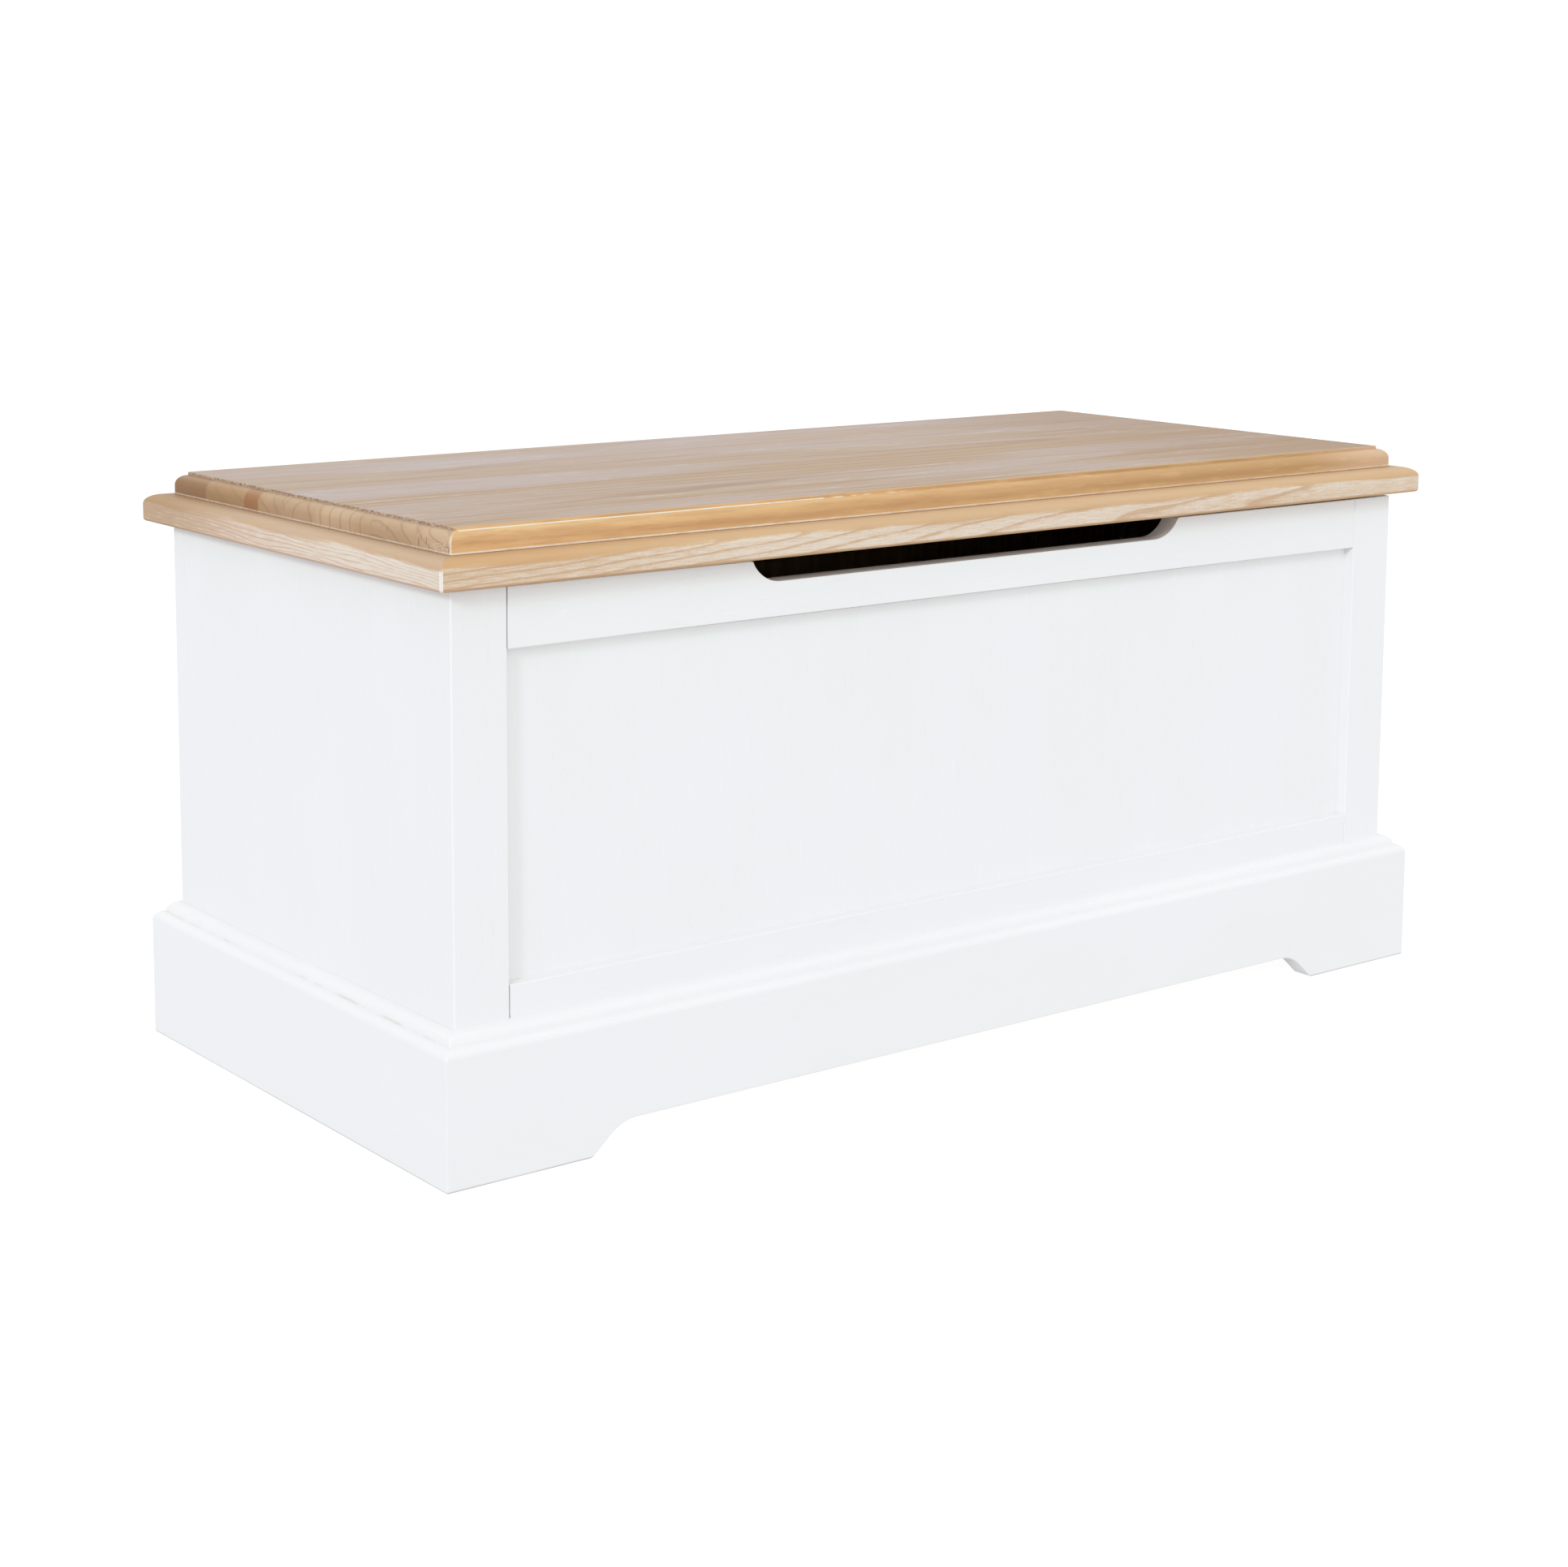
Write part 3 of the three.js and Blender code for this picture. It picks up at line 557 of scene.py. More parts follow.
def hand_cut():
    """Half of the cut-out's edge as (x, depth below the rail's top). A wide arc climbs from the
    flat bottom and a small one turns it over on to the top."""
    reach = hand_cut_round + hand_cut_lip
    lip = math.asin((hand_cut_round - hand_cut_depth + hand_cut_lip) / reach)
    centre_x = hand_cut_flat / 2
    wide = np.linspace(0, np.pi / 2 - lip, hand_cut_steps[0])
    small = np.linspace(np.pi / 2 - lip, 0, hand_cut_steps[1])[1:]
    x_wide = centre_x + hand_cut_round * np.sin(wide)
    drop_wide = hand_cut_depth - hand_cut_round + hand_cut_round * np.cos(wide)
    x_small = centre_x + reach * math.cos(lip) - hand_cut_lip * np.sin(small)
    drop_small = hand_cut_lip * (1 - np.cos(small))
    return np.concatenate([x_wide, x_small]), np.concatenate([drop_wide, drop_small])


def rail(name, face, groove_on_top, cut=False):
    """A rail between the stiles. Where it is cut out, the points near its top edge are lowered
    by the depth of the cut at their place."""
    low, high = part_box(name)[0].z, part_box(name)[1].z
    outline, worn = rail_outline(low, high, groove_on_top)
    section = np.stack([face * (half_depth - outline[:, 0]), outline[:, 1]], 1)
    x, drop = hand_cut()
    between = np.concatenate([-x[::-1], x]) + hand_cut_centre if cut else ()
    rings, worn = bar(section, worn, -open_half + left_seam, open_half - right_seam, seam_arris,
                      between, rail_end_wear)
    if cut:
        lowered = np.interp(np.abs(rings[..., 2] - hand_cut_centre), x, drop, right=0.0)
        rings[..., 1] -= lowered * (rings[..., 1] > high - 2 * eased_arris)
    make(name, along_x(rings), worn, paint_level, "painted_wood")


def box_board(name, arris, material, slot, body="carcass", grown=0.0):
    """A plain board with all its arrises eased, as large as the frame's node, or grown across Y
    so that paint closes the slack in its grooves."""
    low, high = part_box(name)
    low.y -= grown
    high.y += grown
    corners = [(low.y, low.z), (high.y, low.z), (high.y, high.z), (low.y, high.z)]
    outline, worn = rounded(corners, [arris] * 4)
    rings, worn = bar(outline, worn, low.x, high.x, arris)
    make(name, along_x(rings), worn, material, slot, body)


for end, face in (("front", -1), ("back", 1)):
    stile(end + "_left_stile", -1, face)
    stile(end + "_right_stile", 1, face)
    rail(end + "_top_rail", face, False, cut=face < 0)
    rail(end + "_bottom_rail", face, True)
    box_board(end + "_panel", panel_arris, paint_panel, "painted_wood", grown=panel_slack)

# Side panels. Each side is one wide flush board with its grain upright, tongued into the stiles.
# A hairline shows where it meets the back stile, and paint fills the one at the front.
side_seam = 0.00020
side_wear = 0.7


def side_board(name, side):
    """Plan of the board with a tongue on each end, carried up the side."""
    low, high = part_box(name)
    outer, inner = side * half_width, side * (half_width - board_thickness)
    shoulder = half_depth - board_thickness - side_seam
    front = half_depth - board_thickness - filled_seam
    tongue_out = side * (half_width - (board_thickness - side_tongue) / 2)
    tongue_in = side * (half_width - (board_thickness + side_tongue) / 2)
    corners = [(outer, -front), (outer, shoulder), (tongue_out, shoulder), (tongue_out, high.y),
               (tongue_in, high.y), (tongue_in, shoulder), (inner, shoulder), (inner, -shoulder),
               (tongue_in, -shoulder), (tongue_in, low.y), (tongue_out, low.y), (tongue_out, -front)]
    radii = [0, seam_arris, 0, 0, 0, 0, seam_arris, seam_arris, 0, 0, 0, 0]
    outline, worn = rounded(corners, radii, [0, side_wear] + [0] * 10)
    rings, worn = bar(outline, worn, low.z, high.z, seam_arris)
    make(name, rings, worn, paint_upright, "painted_wood")


side_board("left_side_panel", -1)
side_board("right_side_panel", 1)

# Plinth. Four painted boards with a double bead along the top, mitred at the corners and glued
# round the foot of the body. The front one is cut away to a shallow arch between two feet.
plinth_out = 0.018
upper_bead = (0.010, 0.0087)
lower_bead_height = 0.007
foot_width = 0.119
arch_height = 0.023
arch_round = 0.036
toe_round = 0.006
arch_slope = math.radians(42)
mitre_gap = 0.00001
mitre_arris = 0.00012
# Plinth corners are marked for the painted highlight, which the paint gives only high on the body.
plinth_corner_highlight = (-1.0, -1.0, -0.9, 0, 0, 0)
seam_dirt = (0.480, 0.430, 0.350)
plinth_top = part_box("plinth_left")[1].z


def quarter(centre, radius_out, radius_up, steps=10):
    """A quarter of an ellipse, from its outermost point up to its highest."""
    turn = np.linspace(0, np.pi / 2, steps)
    return np.stack([centre[0] + radius_out * np.cos(turn), centre[1] + radius_up * np.sin(turn)], 1)


def plinth_section(height):
    """Section as (out from the body, height): foot, face, lower bead, quirk, upper bead."""
    quirk = height - upper_bead[1]
    foot, worn = rounded([(0, 0), (plinth_out, 0), (plinth_out, height), (0, height)], [0, eased_arris, 0, 0])
    lower_start = (upper_bead[0], quirk - lower_bead_height)
    lower = quarter(lower_start, plinth_out - upper_bead[0], lower_bead_height)
    points = np.concatenate([foot[:-2], lower[:-1], quarter((0, quirk), *upper_bead)])
    return points, np.concatenate([worn[:-2], np.zeros(len(points) - len(foot) + 2)])


def mitred(section, worn, half_run, offset, corner, between=(), corner_wear_and_highlight=plinth_corner_highlight):
    """A section (out, height) carried along one side of a rectangle. At each corner it turns on
    an arc of one radius as far as the mitre at 45 degrees. Gives rings of (along, out, height)."""
    turn = np.radians(np.array([45, 45, 49, 60, 75, 90]))
    depth = np.array([mitre_arris, 0, 0, 0, 0, 0])
    start = np.array([mitre_gap, mitre_gap + mitre_arris, 0, 0, 0, 0])
    flat = drawn_in(section, depth)
    along = half_run + flat[..., 0] - corner + corner * np.cos(turn)[:, None] - start[:, None]
    out = offset + flat[..., 0] - corner + corner * np.sin(turn)[:, None]
    right = np.stack([along, out, flat[..., 1]], -1)
    left = right * np.array([-1, 1, 1])
    station = np.asarray(between, float)[:, None] + 0 * section[:, 0]
    middle = np.stack([station, offset + section[:, 0] + 0 * station, section[:, 1] + 0 * station], -1)
    rings = np.concatenate([left, middle, right[::-1]])
    # Corner marks: a negative one is a painted highlight, a positive one wear or lime.
    mitre_wear_and_highlight = np.concatenate([corner_wear_and_highlight, np.zeros(len(between)), corner_wear_and_highlight[::-1]])
    return rings, np.where(mitre_wear_and_highlight[:, None] == 0, worn[None], mitre_wear_and_highlight[:, None])


def to_side(rings, quarter_turns):
    """Turns rings of (along, out, height) to the front (0), right (1), back (2) or left (3)."""
    angle = quarter_turns * math.pi / 2
    cos, sin = round(math.cos(angle)), round(math.sin(angle))
    x, y = rings[..., 0], -rings[..., 1]
    return np.stack([cos * x - sin * y, sin * x + cos * y, rings[..., 2]], -1)


def arch_edge():
    """Half of the arch as (x, height): a toe arc, a straight slope and a wide arc to the top."""
    toe_x = half_width + plinth_out - foot_width
    toe = np.linspace(0, arch_slope, 6)
    wide = np.linspace(arch_slope, 0, 16)
    bend = 1 - math.cos(arch_slope)
    straight = (arch_height - (arch_round + toe_round) * bend) / math.tan(arch_slope)
    centre_x = toe_x - (toe_round + arch_round) * math.sin(arch_slope) - straight
    x = np.concatenate([toe_x - toe_round * np.sin(toe), centre_x + arch_round * np.sin(wide)])
    height = np.concatenate([toe_round * (1 - np.cos(toe)), arch_height - arch_round * (1 - np.cos(wide))])
    return x[::-1], height[::-1]


def plinth_board(name, half_run, offset, quarter_turns, material, arch=False):
    """One plinth board. Under the arch the points of its foot are lifted to the arch's edge."""
    section, worn = plinth_section(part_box(name)[1].z)
    x, rise = arch_edge()
    between = np.concatenate([-x[::-1], x]) if arch else ()
    rings, worn = mitred(section, worn, half_run, offset, corner_round, between)
    if arch:
        lifted = np.interp(np.abs(rings[..., 0]), x, rise, right=0.0)
        rings[..., 2] += lifted * (rings[..., 2] < 2 * eased_arris)
    make(name, to_side(rings, quarter_turns), worn, material, "painted_wood")


def soil_seams(material):
    """Dirt in the seam where the upper bead meets the side board, and flecks of it where paint
    has rubbed off along the quirk."""
    tree = material.node_tree
    shader = tree.nodes["Principled BSDF"]
    x, z = split(mapped(tree))[::2]
    out = abs(x) - half_width
    broken = noise(mapped(tree, grain_turns["y"]), (22, 90), 3, 0.6)
    seam = ramp(out, 0.0026, 0.0010) * ramp(broken, 0.30, 0.60, 0.06, 0.22)
    seam = seam * ramp(z, plinth_top - 0.0010, plinth_top - 0.0003)
    rubbed = ramp(abs(out - (upper_bead[0] + 0.0006)), 0.0016, 0.0006)
    rubbed = rubbed * ramp(abs(z - (plinth_top - upper_bead[1])), 0.0018, 0.0006)
    rubbed = rubbed * ramp(broken, 0.50, 0.62, 0.03, 0.45)
    clean = Field(tree, shader.inputs["Base Color"].links[0].from_socket)
    feed(tree, shader, {"Base Color": mix(seam.step("MAXIMUM", rubbed), clean, seam_dirt)})


paint_plinth_long = painted("paint_plinth_long", "x", (0.9, 0.6, 0.5))
paint_plinth_short = painted("paint_plinth_short", "y", (0.2, 0.6, 0.5))
soil_seams(paint_plinth_short)
plinth_board("plinth_front", half_width, half_depth, 0, paint_plinth_long, arch=True)
plinth_board("plinth_back", half_width, half_depth, 2, paint_plinth_long)
plinth_board("plinth_right", half_depth, half_width, 1, paint_plinth_short)
plinth_board("plinth_left", half_depth, half_width, 3, paint_plinth_short)

# Floor of the box, its cleats, the glue blocks in the corners and the battens under the lid.
# They are planed pine without a finish.
pine_early = (0.640, 0.450, 0.262)
pine_late = (0.430, 0.250, 0.118)
floor_arris = 0.0005
batten_arris = 0.0020
pine_roughness = 0.65
pine_relief = (0.2, 0.0004)


def spread(value):
    """Noise lies mostly between 0.3 and 0.7; this stretches it to 0 to 1."""
    inputs = {"Value": value, "From Min": 0.29, "From Max": 0.71, "To Min": 0.0, "To Max": 1.0}
    return wire(value.tree, "ShaderNodeMapRange", inputs)


def pine_figure_group():
    """Growth rings of a log whose pith lies nearly along X. A point's ring is its distance from
    the pith over the ring's width. The pith leans and wavers, and the log tapers, which draws
    the rings out into arches on a flat face. Rings is 1 on the thin late wood at the end of
    each ring. Fibre is fine noise drawn out along X, Band the same but broad, Speck is short."""
    tree, given = new_group(
        "pine figure",
        {"Vector": None, "Pith Y": 0.0, "Pith Z": -0.1, "Ring": 0.006, "Lean": 0.02, "Taper": 0.0,
         "Waver": 0.01, "Early": 0.45},
        ["Rings", "Fibre", "Band", "Speck"])
    vector, waver = given["Vector"], given["Waver"]
    x, y, z = split(vector)
    shift = (noise(vector, (3, 12)) - 0.5) * waver + (noise(vector, (14, 70)) - 0.5) * waver * 0.12
    side = y - given["Pith Y"]
    rise = x * given["Lean"] + z - given["Pith Z"]
    distance = x * given["Taper"] + (side * side + rise * rise).step("SQRT")
    phase = ((distance + shift) / given["Ring"]).step("FRACT")
    wire(tree, "NodeGroupOutput", {
        "Rings": ramp(phase, given["Early"], 0.90) * ramp(phase, 1.0, 0.92),
        "Fibre": spread(noise(vector, (52, 900), 4, 0.7)),
        "Band": spread(noise(vector, (2.6, 85), 3, 0.6)),
        "Speck": spread(noise(vector, (300, 900), 2, 0.6))})
    return tree


pine_figure = pine_figure_group()


def bare_pine(name, grain, shift):
    """Planed pine with its rings and fibre, no finish."""
    material, tree, shader = new_material(name)
    figure = use_group(tree, pine_figure, {"Vector": mapped(tree, grain_turns[grain], shift), "Ring": 0.005})
    late = figure["Rings"] * 0.60 + figure["Fibre"] * 0.25
    feed(tree, shader, {"Base Color": mix(late, pine_early, pine_late), "Roughness": pine_roughness,
                        "Normal": bump(figure["Fibre"], *pine_relief)})
    return material


bare_along_x = bare_pine("bare_pine_long", "x", (0.2, 0.05, 0.0))
bare_along_y = bare_pine("bare_pine_short", "y", (0.5, 0.0, 0.03))
bare_along_z = bare_pine("bare_pine_block", "z", (0.1, 0.0, 0.03))
box_board("floor_board", floor_arris, bare_along_x, "bare_wood")
for side in ("left", "right"):
    box_board("lid_batten_" + side, batten_arris, bare_along_y, "bare_wood", "lid")
bare_nodes = {"floor_cleat_front": bare_along_x, "floor_cleat_back": bare_along_x,
              "floor_cleat_left": bare_along_y, "floor_cleat_right": bare_along_y,
              "corner_block_front_left": bare_along_z, "corner_block_front_right": bare_along_z,
              "corner_block_back_left": bare_along_z, "corner_block_back_right": bare_along_z}
for name, material in bare_nodes.items():
    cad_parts[name].data.materials.clear()
    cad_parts[name].data.materials.append(material)

# Lower tier of the lid. Four members are mitred into a frame; each has a rounded ledge on top and
# a flat face. The wood is brushed, limed and waxed: white lime stays in the open grain of the
# faces and along the arrises, and the sanded ledge is clean honey-coloured wood.
lid_low, lid_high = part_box("lid_frame_front")
lid_frame_width = lid_high.y - lid_low.y
lid_bottom, ledge_top = lid_low.z, lid_high.z
member_overrun = 0.001
lid_half_width = -lid_low.x + member_overrun
lid_half_depth = -lid_low.y
tier_half_width = -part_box("lid_plank_1")[0].x
tier_half_depth = -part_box("lid_plank_1")[0].y
ledge_round = (0.013, 0.008)
under_arris = 0.0025
lid_corner = 0.0022
lid_corner_wear = (0.0, 0.15, 1.0, 1.0, 0.7, 0.0)
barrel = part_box("hinge_right_pin")
barrel_middle = (barrel[0] + barrel[1]) / 2
barrel_half = (barrel[1].x - barrel[0].x) / 2 + 0.0006
barrel_reach = 0.0041
relief_wall = 0.0001
honey = (0.445, 0.303, 0.170)
honey_dark = (0.370, 0.212, 0.090)
honey_right = (0.490, 0.345, 0.225)
front_wood = (0.455, 0.300, 0.160)
front_ledge = (0.465, 0.315, 0.176)
front_ledge_left = (0.440, 0.268, 0.122)
left_wood = (0.490, 0.350, 0.262)
left_wood_back = (0.330, 0.225, 0.130)
left_ledge = (0.406, 0.300, 0.200)
left_ledge_back = (0.297, 0.195, 0.098)
lime_white = (0.640, 0.560, 0.485)
lime_line = (0.770, 0.700, 0.620)
# Painted shade on the ledge where it meets the upper tier.
tier_foot_shade = (0.290, 0.190, 0.090)
wax_roughness = (0.48, 0.66)
wax_shine = 0.30
member_relief = 0.30
lime_relief_depth = 0.0004


def lid_frame_section(relieved=False):
    """Section as (out from the outer face, height): flat under face, round under arris, face,
    rounded ledge. A relieved one has points on its under face for the walls of the hinges'
    reliefs."""
    under, worn = rounded([(-lid_frame_width, lid_bottom), (0, lid_bottom), (0, ledge_top),
                           (-lid_frame_width, ledge_top)], [0, under_arris, 0, 0], None, 6)
    ledge = quarter((-ledge_round[0], ledge_top - ledge_round[1]), *ledge_round, 12)
    walls = np.zeros((0, 2))
    if relieved:
        out = barrel_middle.y - lid_half_depth + np.array([-1, -1, 1, 1]) * barrel_reach
        out += np.array([-1, 1, -1, 1]) * relief_wall
        walls = np.stack([out, np.full(4, lid_bottom)], 1)
    points = np.concatenate([under[:1], walls, under[1:-2], ledge, [[-lid_frame_width, ledge_top]]])
    return points, np.concatenate([np.zeros(len(walls)), worn[:-2], np.zeros(len(ledge) + 1)])


def limed_group():
    """Lime over waxed pine. Amount says how much lime a place holds. Lime fills the open grain,
    which is the sum of fibre, band and speck less the late wood, wherever that sum is above a
    threshold that falls as Amount rises, and it thins towards its edge. A thin even film of it
    lies over everything."""
    tree, given = new_group(
        "limed pine",
        {"Rings": 0.0, "Fibre": 0.5, "Band": 0.5, "Speck": 0.5, "Amount": 0.5, "Wood": honey,
         "Late Wood": honey_dark, "Lime": lime_white},
        ["Color", "Cover", "Height"])
    rings, fibre, amount = given["Rings"], given["Fibre"], given["Amount"]
    wood = mix(rings * 0.60 + fibre * 0.30, given["Wood"], given["Late Wood"])
    grain = fibre * 0.66 + given["Band"] * 0.18 + given["Speck"] * 0.16 + rings * -0.30
    cover = ramp(grain - (1.0 - amount), -0.26, 0.34, 0.0, 0.62) + amount * 0.36
    wire(tree, "NodeGroupOutput", {"Color": mix(cover, wood, given["Lime"]), "Cover": cover,
                                   "Height": rings * 0.4 + fibre * 0.6})
    return tree


limed_pine = limed_group()


def finish_limed(tree, shader, colour, cover, height, strength):
    """Wax over the limed wood: lime is duller than bare wood, and the grain stands in relief."""
    feed(tree, shader, {"Base Color": colour, "Roughness": ramp(cover, 0.0, 1.0, *wax_roughness),
                        "Specular IOR Level": wax_shine,
                        "Normal": bump(height, strength, lime_relief_depth)})


def log(pith_y, pith_z, ring, lean, taper, waver, early=0.45):
    """The log that a piece is cut from, as the pine figure takes it."""
    return {"Pith Y": pith_y, "Pith Z": pith_z, "Ring": ring, "Lean": lean, "Taper": taper,
            "Waver": waver, "Early": early}


def lid_member(name, grain, figure_values, amounts, far_share=1.0, woods=(honey, honey),
               ledges=(honey, honey), toned=(-0.15, -0.50), higher=0.0):
    """Material of a lower member. Lime covers the face below the ledge, more at one end than
    the other (amounts: along, amount, along, amount; far_share thins it on the right), breaks
    off unevenly below the ledge and gathers on the mitres. Face and ledge change their tone
    between the two places of toned. Painted shade darkens the ledge where it meets the upper
    tier."""
    material, tree, shader = new_material(name)
    along_grain = mapped(tree, grain_turns[grain])
    x, y, z = split(mapped(tree))
    run = split(along_grain)[0]
    figure = use_group(tree, pine_figure, {"Vector": along_grain, **figure_values})
    zone = noise(along_grain, (4, 60), 3, 0.6)
    height = (zone - 0.5) * 0.018 + z
    face_top = ledge_top - ledge_round[1] + higher
    start, start_amount, end, end_amount = amounts
    amount = ramp(run, start, end, start_amount, end_amount) * ramp(run, 0.0, 0.30, 1.0, far_share)
    amount = amount * ramp(height, face_top + 0.0040, face_top - 0.0012)
    amount = amount * within(z, lid_bottom + 0.0008, lid_bottom + 0.0030,
                             ledge_top - 0.0030, ledge_top - 0.0010)
    near_end = ramp(run, *toned)
    limed = use_group(tree, limed_pine, {**figure, "Amount": amount, "Wood": mix(near_end, *woods)})
    sanded = mix(figure["Band"] * 0.3, mix(near_end, *ledges), honey_dark)
    edge = ramp(arris_wear_and_highlight(tree), 0.3, 0.8) * ramp(figure["Speck"], 0.1, 0.4, 0.75, 1.0)
    edge = edge * within(z, lid_bottom + 0.0001, lid_bottom + 0.0006, ledge_top - 0.0085, ledge_top - 0.0060)
    # Painted shade on the ledge next to the foot of the upper tier.
    to_tier = (abs(x) - tier_half_width).step("MAXIMUM", abs(y) - tier_half_depth)
    tier_foot_shade_mask = ramp(to_tier, 0.0060, 0.0015) * ramp(figure["Fibre"], 0.0, 1.0, 0.45, 0.80)
    colour = coats(limed["Color"], (ramp(height, face_top - 0.0010, face_top + 0.0030, 0.0, 0.9), sanded),
                   (edge, lime_line), (tier_foot_shade_mask, tier_foot_shade))
    finish_limed(tree, shader, colour, limed["Cover"], limed["Height"], member_relief)
    return material


limed_front = lid_member(
    "limed_member_front", "x", log(-0.19, 0.412, 0.0034, -0.035, -0.02, 0.012, 0.62),
    (-0.48, 0.46, -0.18, 0.60), 0.94, (front_wood, front_wood), (front_ledge, front_ledge_left),
    higher=0.0014)
limed_back = lid_member(
    "limed_member_back", "x", log(0.26, 0.350, 0.0055, 0.05, 0.06, 0.020), (-0.40, 0.65, 0.40, 0.50))
limed_left = lid_member(
    "limed_member_left", "y", log(-0.44, 0.360, 0.0021, -0.02, 0.03, 0.034, 0.58),
    (-0.20, 0.34, 0.12, 0.70), 1.0, (left_wood, left_wood_back), (left_ledge, left_ledge_back),
    (-0.02, -0.20), 0.0018)
limed_right = lid_member(
    "limed_member_right", "y", log(0.45, 0.380, 0.0050, 0.04, 0.05, 0.020),
    (-0.10, 0.68, 0.10, 0.60), 1.0, (honey_right, honey_right))


def lid_member_piece(name, half_run, offset, quarter_turns, material, relieved=False):
    """One mitred member of the lower tier. Over each hinge barrel its under face is cut away as
    far up as the barrel reaches."""
    section, worn = lid_frame_section(relieved)
    edges = np.array([-relief_wall, relief_wall]) + np.array([[-barrel_half], [barrel_half]])
    stations = (np.array([[-1], [1]]) * barrel_middle.x + edges.reshape(1, 4)).reshape(8) if relieved else ()
    rings, worn = mitred(section, worn, half_run, offset, lid_corner, stations, lid_corner_wear)
    if relieved:
        in_run = np.abs(np.abs(rings[..., 0]) - barrel_middle.x) < barrel_half
        in_width = np.abs(rings[..., 1] - barrel_middle.y) < barrel_reach
        under = rings[..., 2] < lid_bottom + 0.00001
        rings[..., 2] += (barrel_middle.z + barrel_reach - lid_bottom) * (in_run & in_width & under)
    make(name, to_side(rings, quarter_turns), worn, material, "limed_wood", "lid")


lid_member_piece("lid_frame_front", lid_half_width, lid_half_depth, 0, limed_front)
lid_member_piece("lid_frame_back", lid_half_width, lid_half_depth, 2, limed_back, relieved=True)
lid_member_piece("lid_frame_right", lid_half_depth, lid_half_width, 1, limed_right)
lid_member_piece("lid_frame_left", lid_half_depth, lid_half_width, 3, limed_left)

# Upper tier of the lid. Seven planks are glued edge to edge and moulded round all four sides: a
# flat edge, a round and a low step up to the top. On the ends the cutter has torn the grain
# of the step. The top is brushed, limed and greyed; the moulding is sanded clean.
top_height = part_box("lid_plank_1")[1].z
moulding_round = 0.008
step_height = 0.0025
step_foot = top_height - step_height
foot_arris = 0.0006
step_arris = 0.0004
tip_steps = 4
plank_corner = 0.0016
chip_depth = 0.0007
chip_pitch = 0.0020
chip_count = 4096
chip_fade = 12
chip_seeds = {-1: 5, 1: 9}
greyed = (0.370, 0.272, 0.176)
greyed_dark = (0.265, 0.180, 0.112)
haze = (0.385, 0.332, 0.318)
end_wood = (0.285, 0.176, 0.080)
end_late = (0.225, 0.132, 0.062)
end_pale = (0.425, 0.300, 0.182)
block_brown = (0.205, 0.114, 0.052)
patch_brown = (0.244, 0.112, 0.038)
tone_left = (0.585, 0.348, 0.158)
tone_right = (0.375, 0.228, 0.094)
rosy = (0.560, 0.385, 0.265)
foot_pale = (0.620, 0.395, 0.185)
# Paler colour for the painted highlight on the upper round of the ends.
end_round_highlight = (0.410, 0.318, 0.215)
torn_dark = (0.150, 0.095, 0.052)
torn_mid = (0.310, 0.222, 0.145)
torn_light = (0.500, 0.410, 0.320)
plank_relief = 0.22


def moulding():
    """The moulded edge as (in from the edge, height), from the foot up to the flat of the top."""
    turn = np.linspace(0, np.pi / 2, 12)
    tip = np.linspace(0, np.pi / 2, tip_steps)
    into = [foot_arris * (1 - np.sin(tip)), moulding_round * (1 - np.cos(turn)),
            moulding_round + step_arris * (1 - np.cos(tip))]
    height = [ledge_top + foot_arris * (1 - np.cos(tip)), step_foot - moulding_round * (1 - np.sin(turn)),
              top_height - step_arris * (1 - np.sin(tip))]
    return np.concatenate(into), np.concatenate(height)


edge_in, edge_height = moulding()
on_step = np.arange(len(edge_in)) >= len(edge_in) - tip_steps


def end_points(y, side, fade=1.0):
    """The moulding along one end of the tier, at places y of (stations, points). The points of
    its step stand back where the grain is torn: by random depths, most of them shallow, each
    held for a chip's width."""
    chips = np.random.default_rng(chip_seeds[side]).random(chip_count) ** 3 * chip_depth
    torn = chips[np.floor(y / chip_pitch).astype(int) % chip_count]
    x = side * (tier_half_width - edge_in - on_step * torn * fade)
    return np.stack([x, y, edge_height + 0 * y], -1)


def station_count(low, high):
    """Two stations for each chip along a plank's end."""
    return max(2, int((high.y - low.y) / (chip_pitch / 2)))


def middle_plank(name, material):
    """A plank with moulded ends and square edges: the two end runs, joined over top and bottom."""
    low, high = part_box(name)
    y = np.linspace(low.y, high.y, station_count(low, high))[:, None] + 0 * edge_in
    rings = np.concatenate([end_points(y, -1), end_points(y, 1)[:, ::-1]], 1)
    make(name, rings, np.zeros(rings.shape[:2]), material, "limed_wood", "lid")


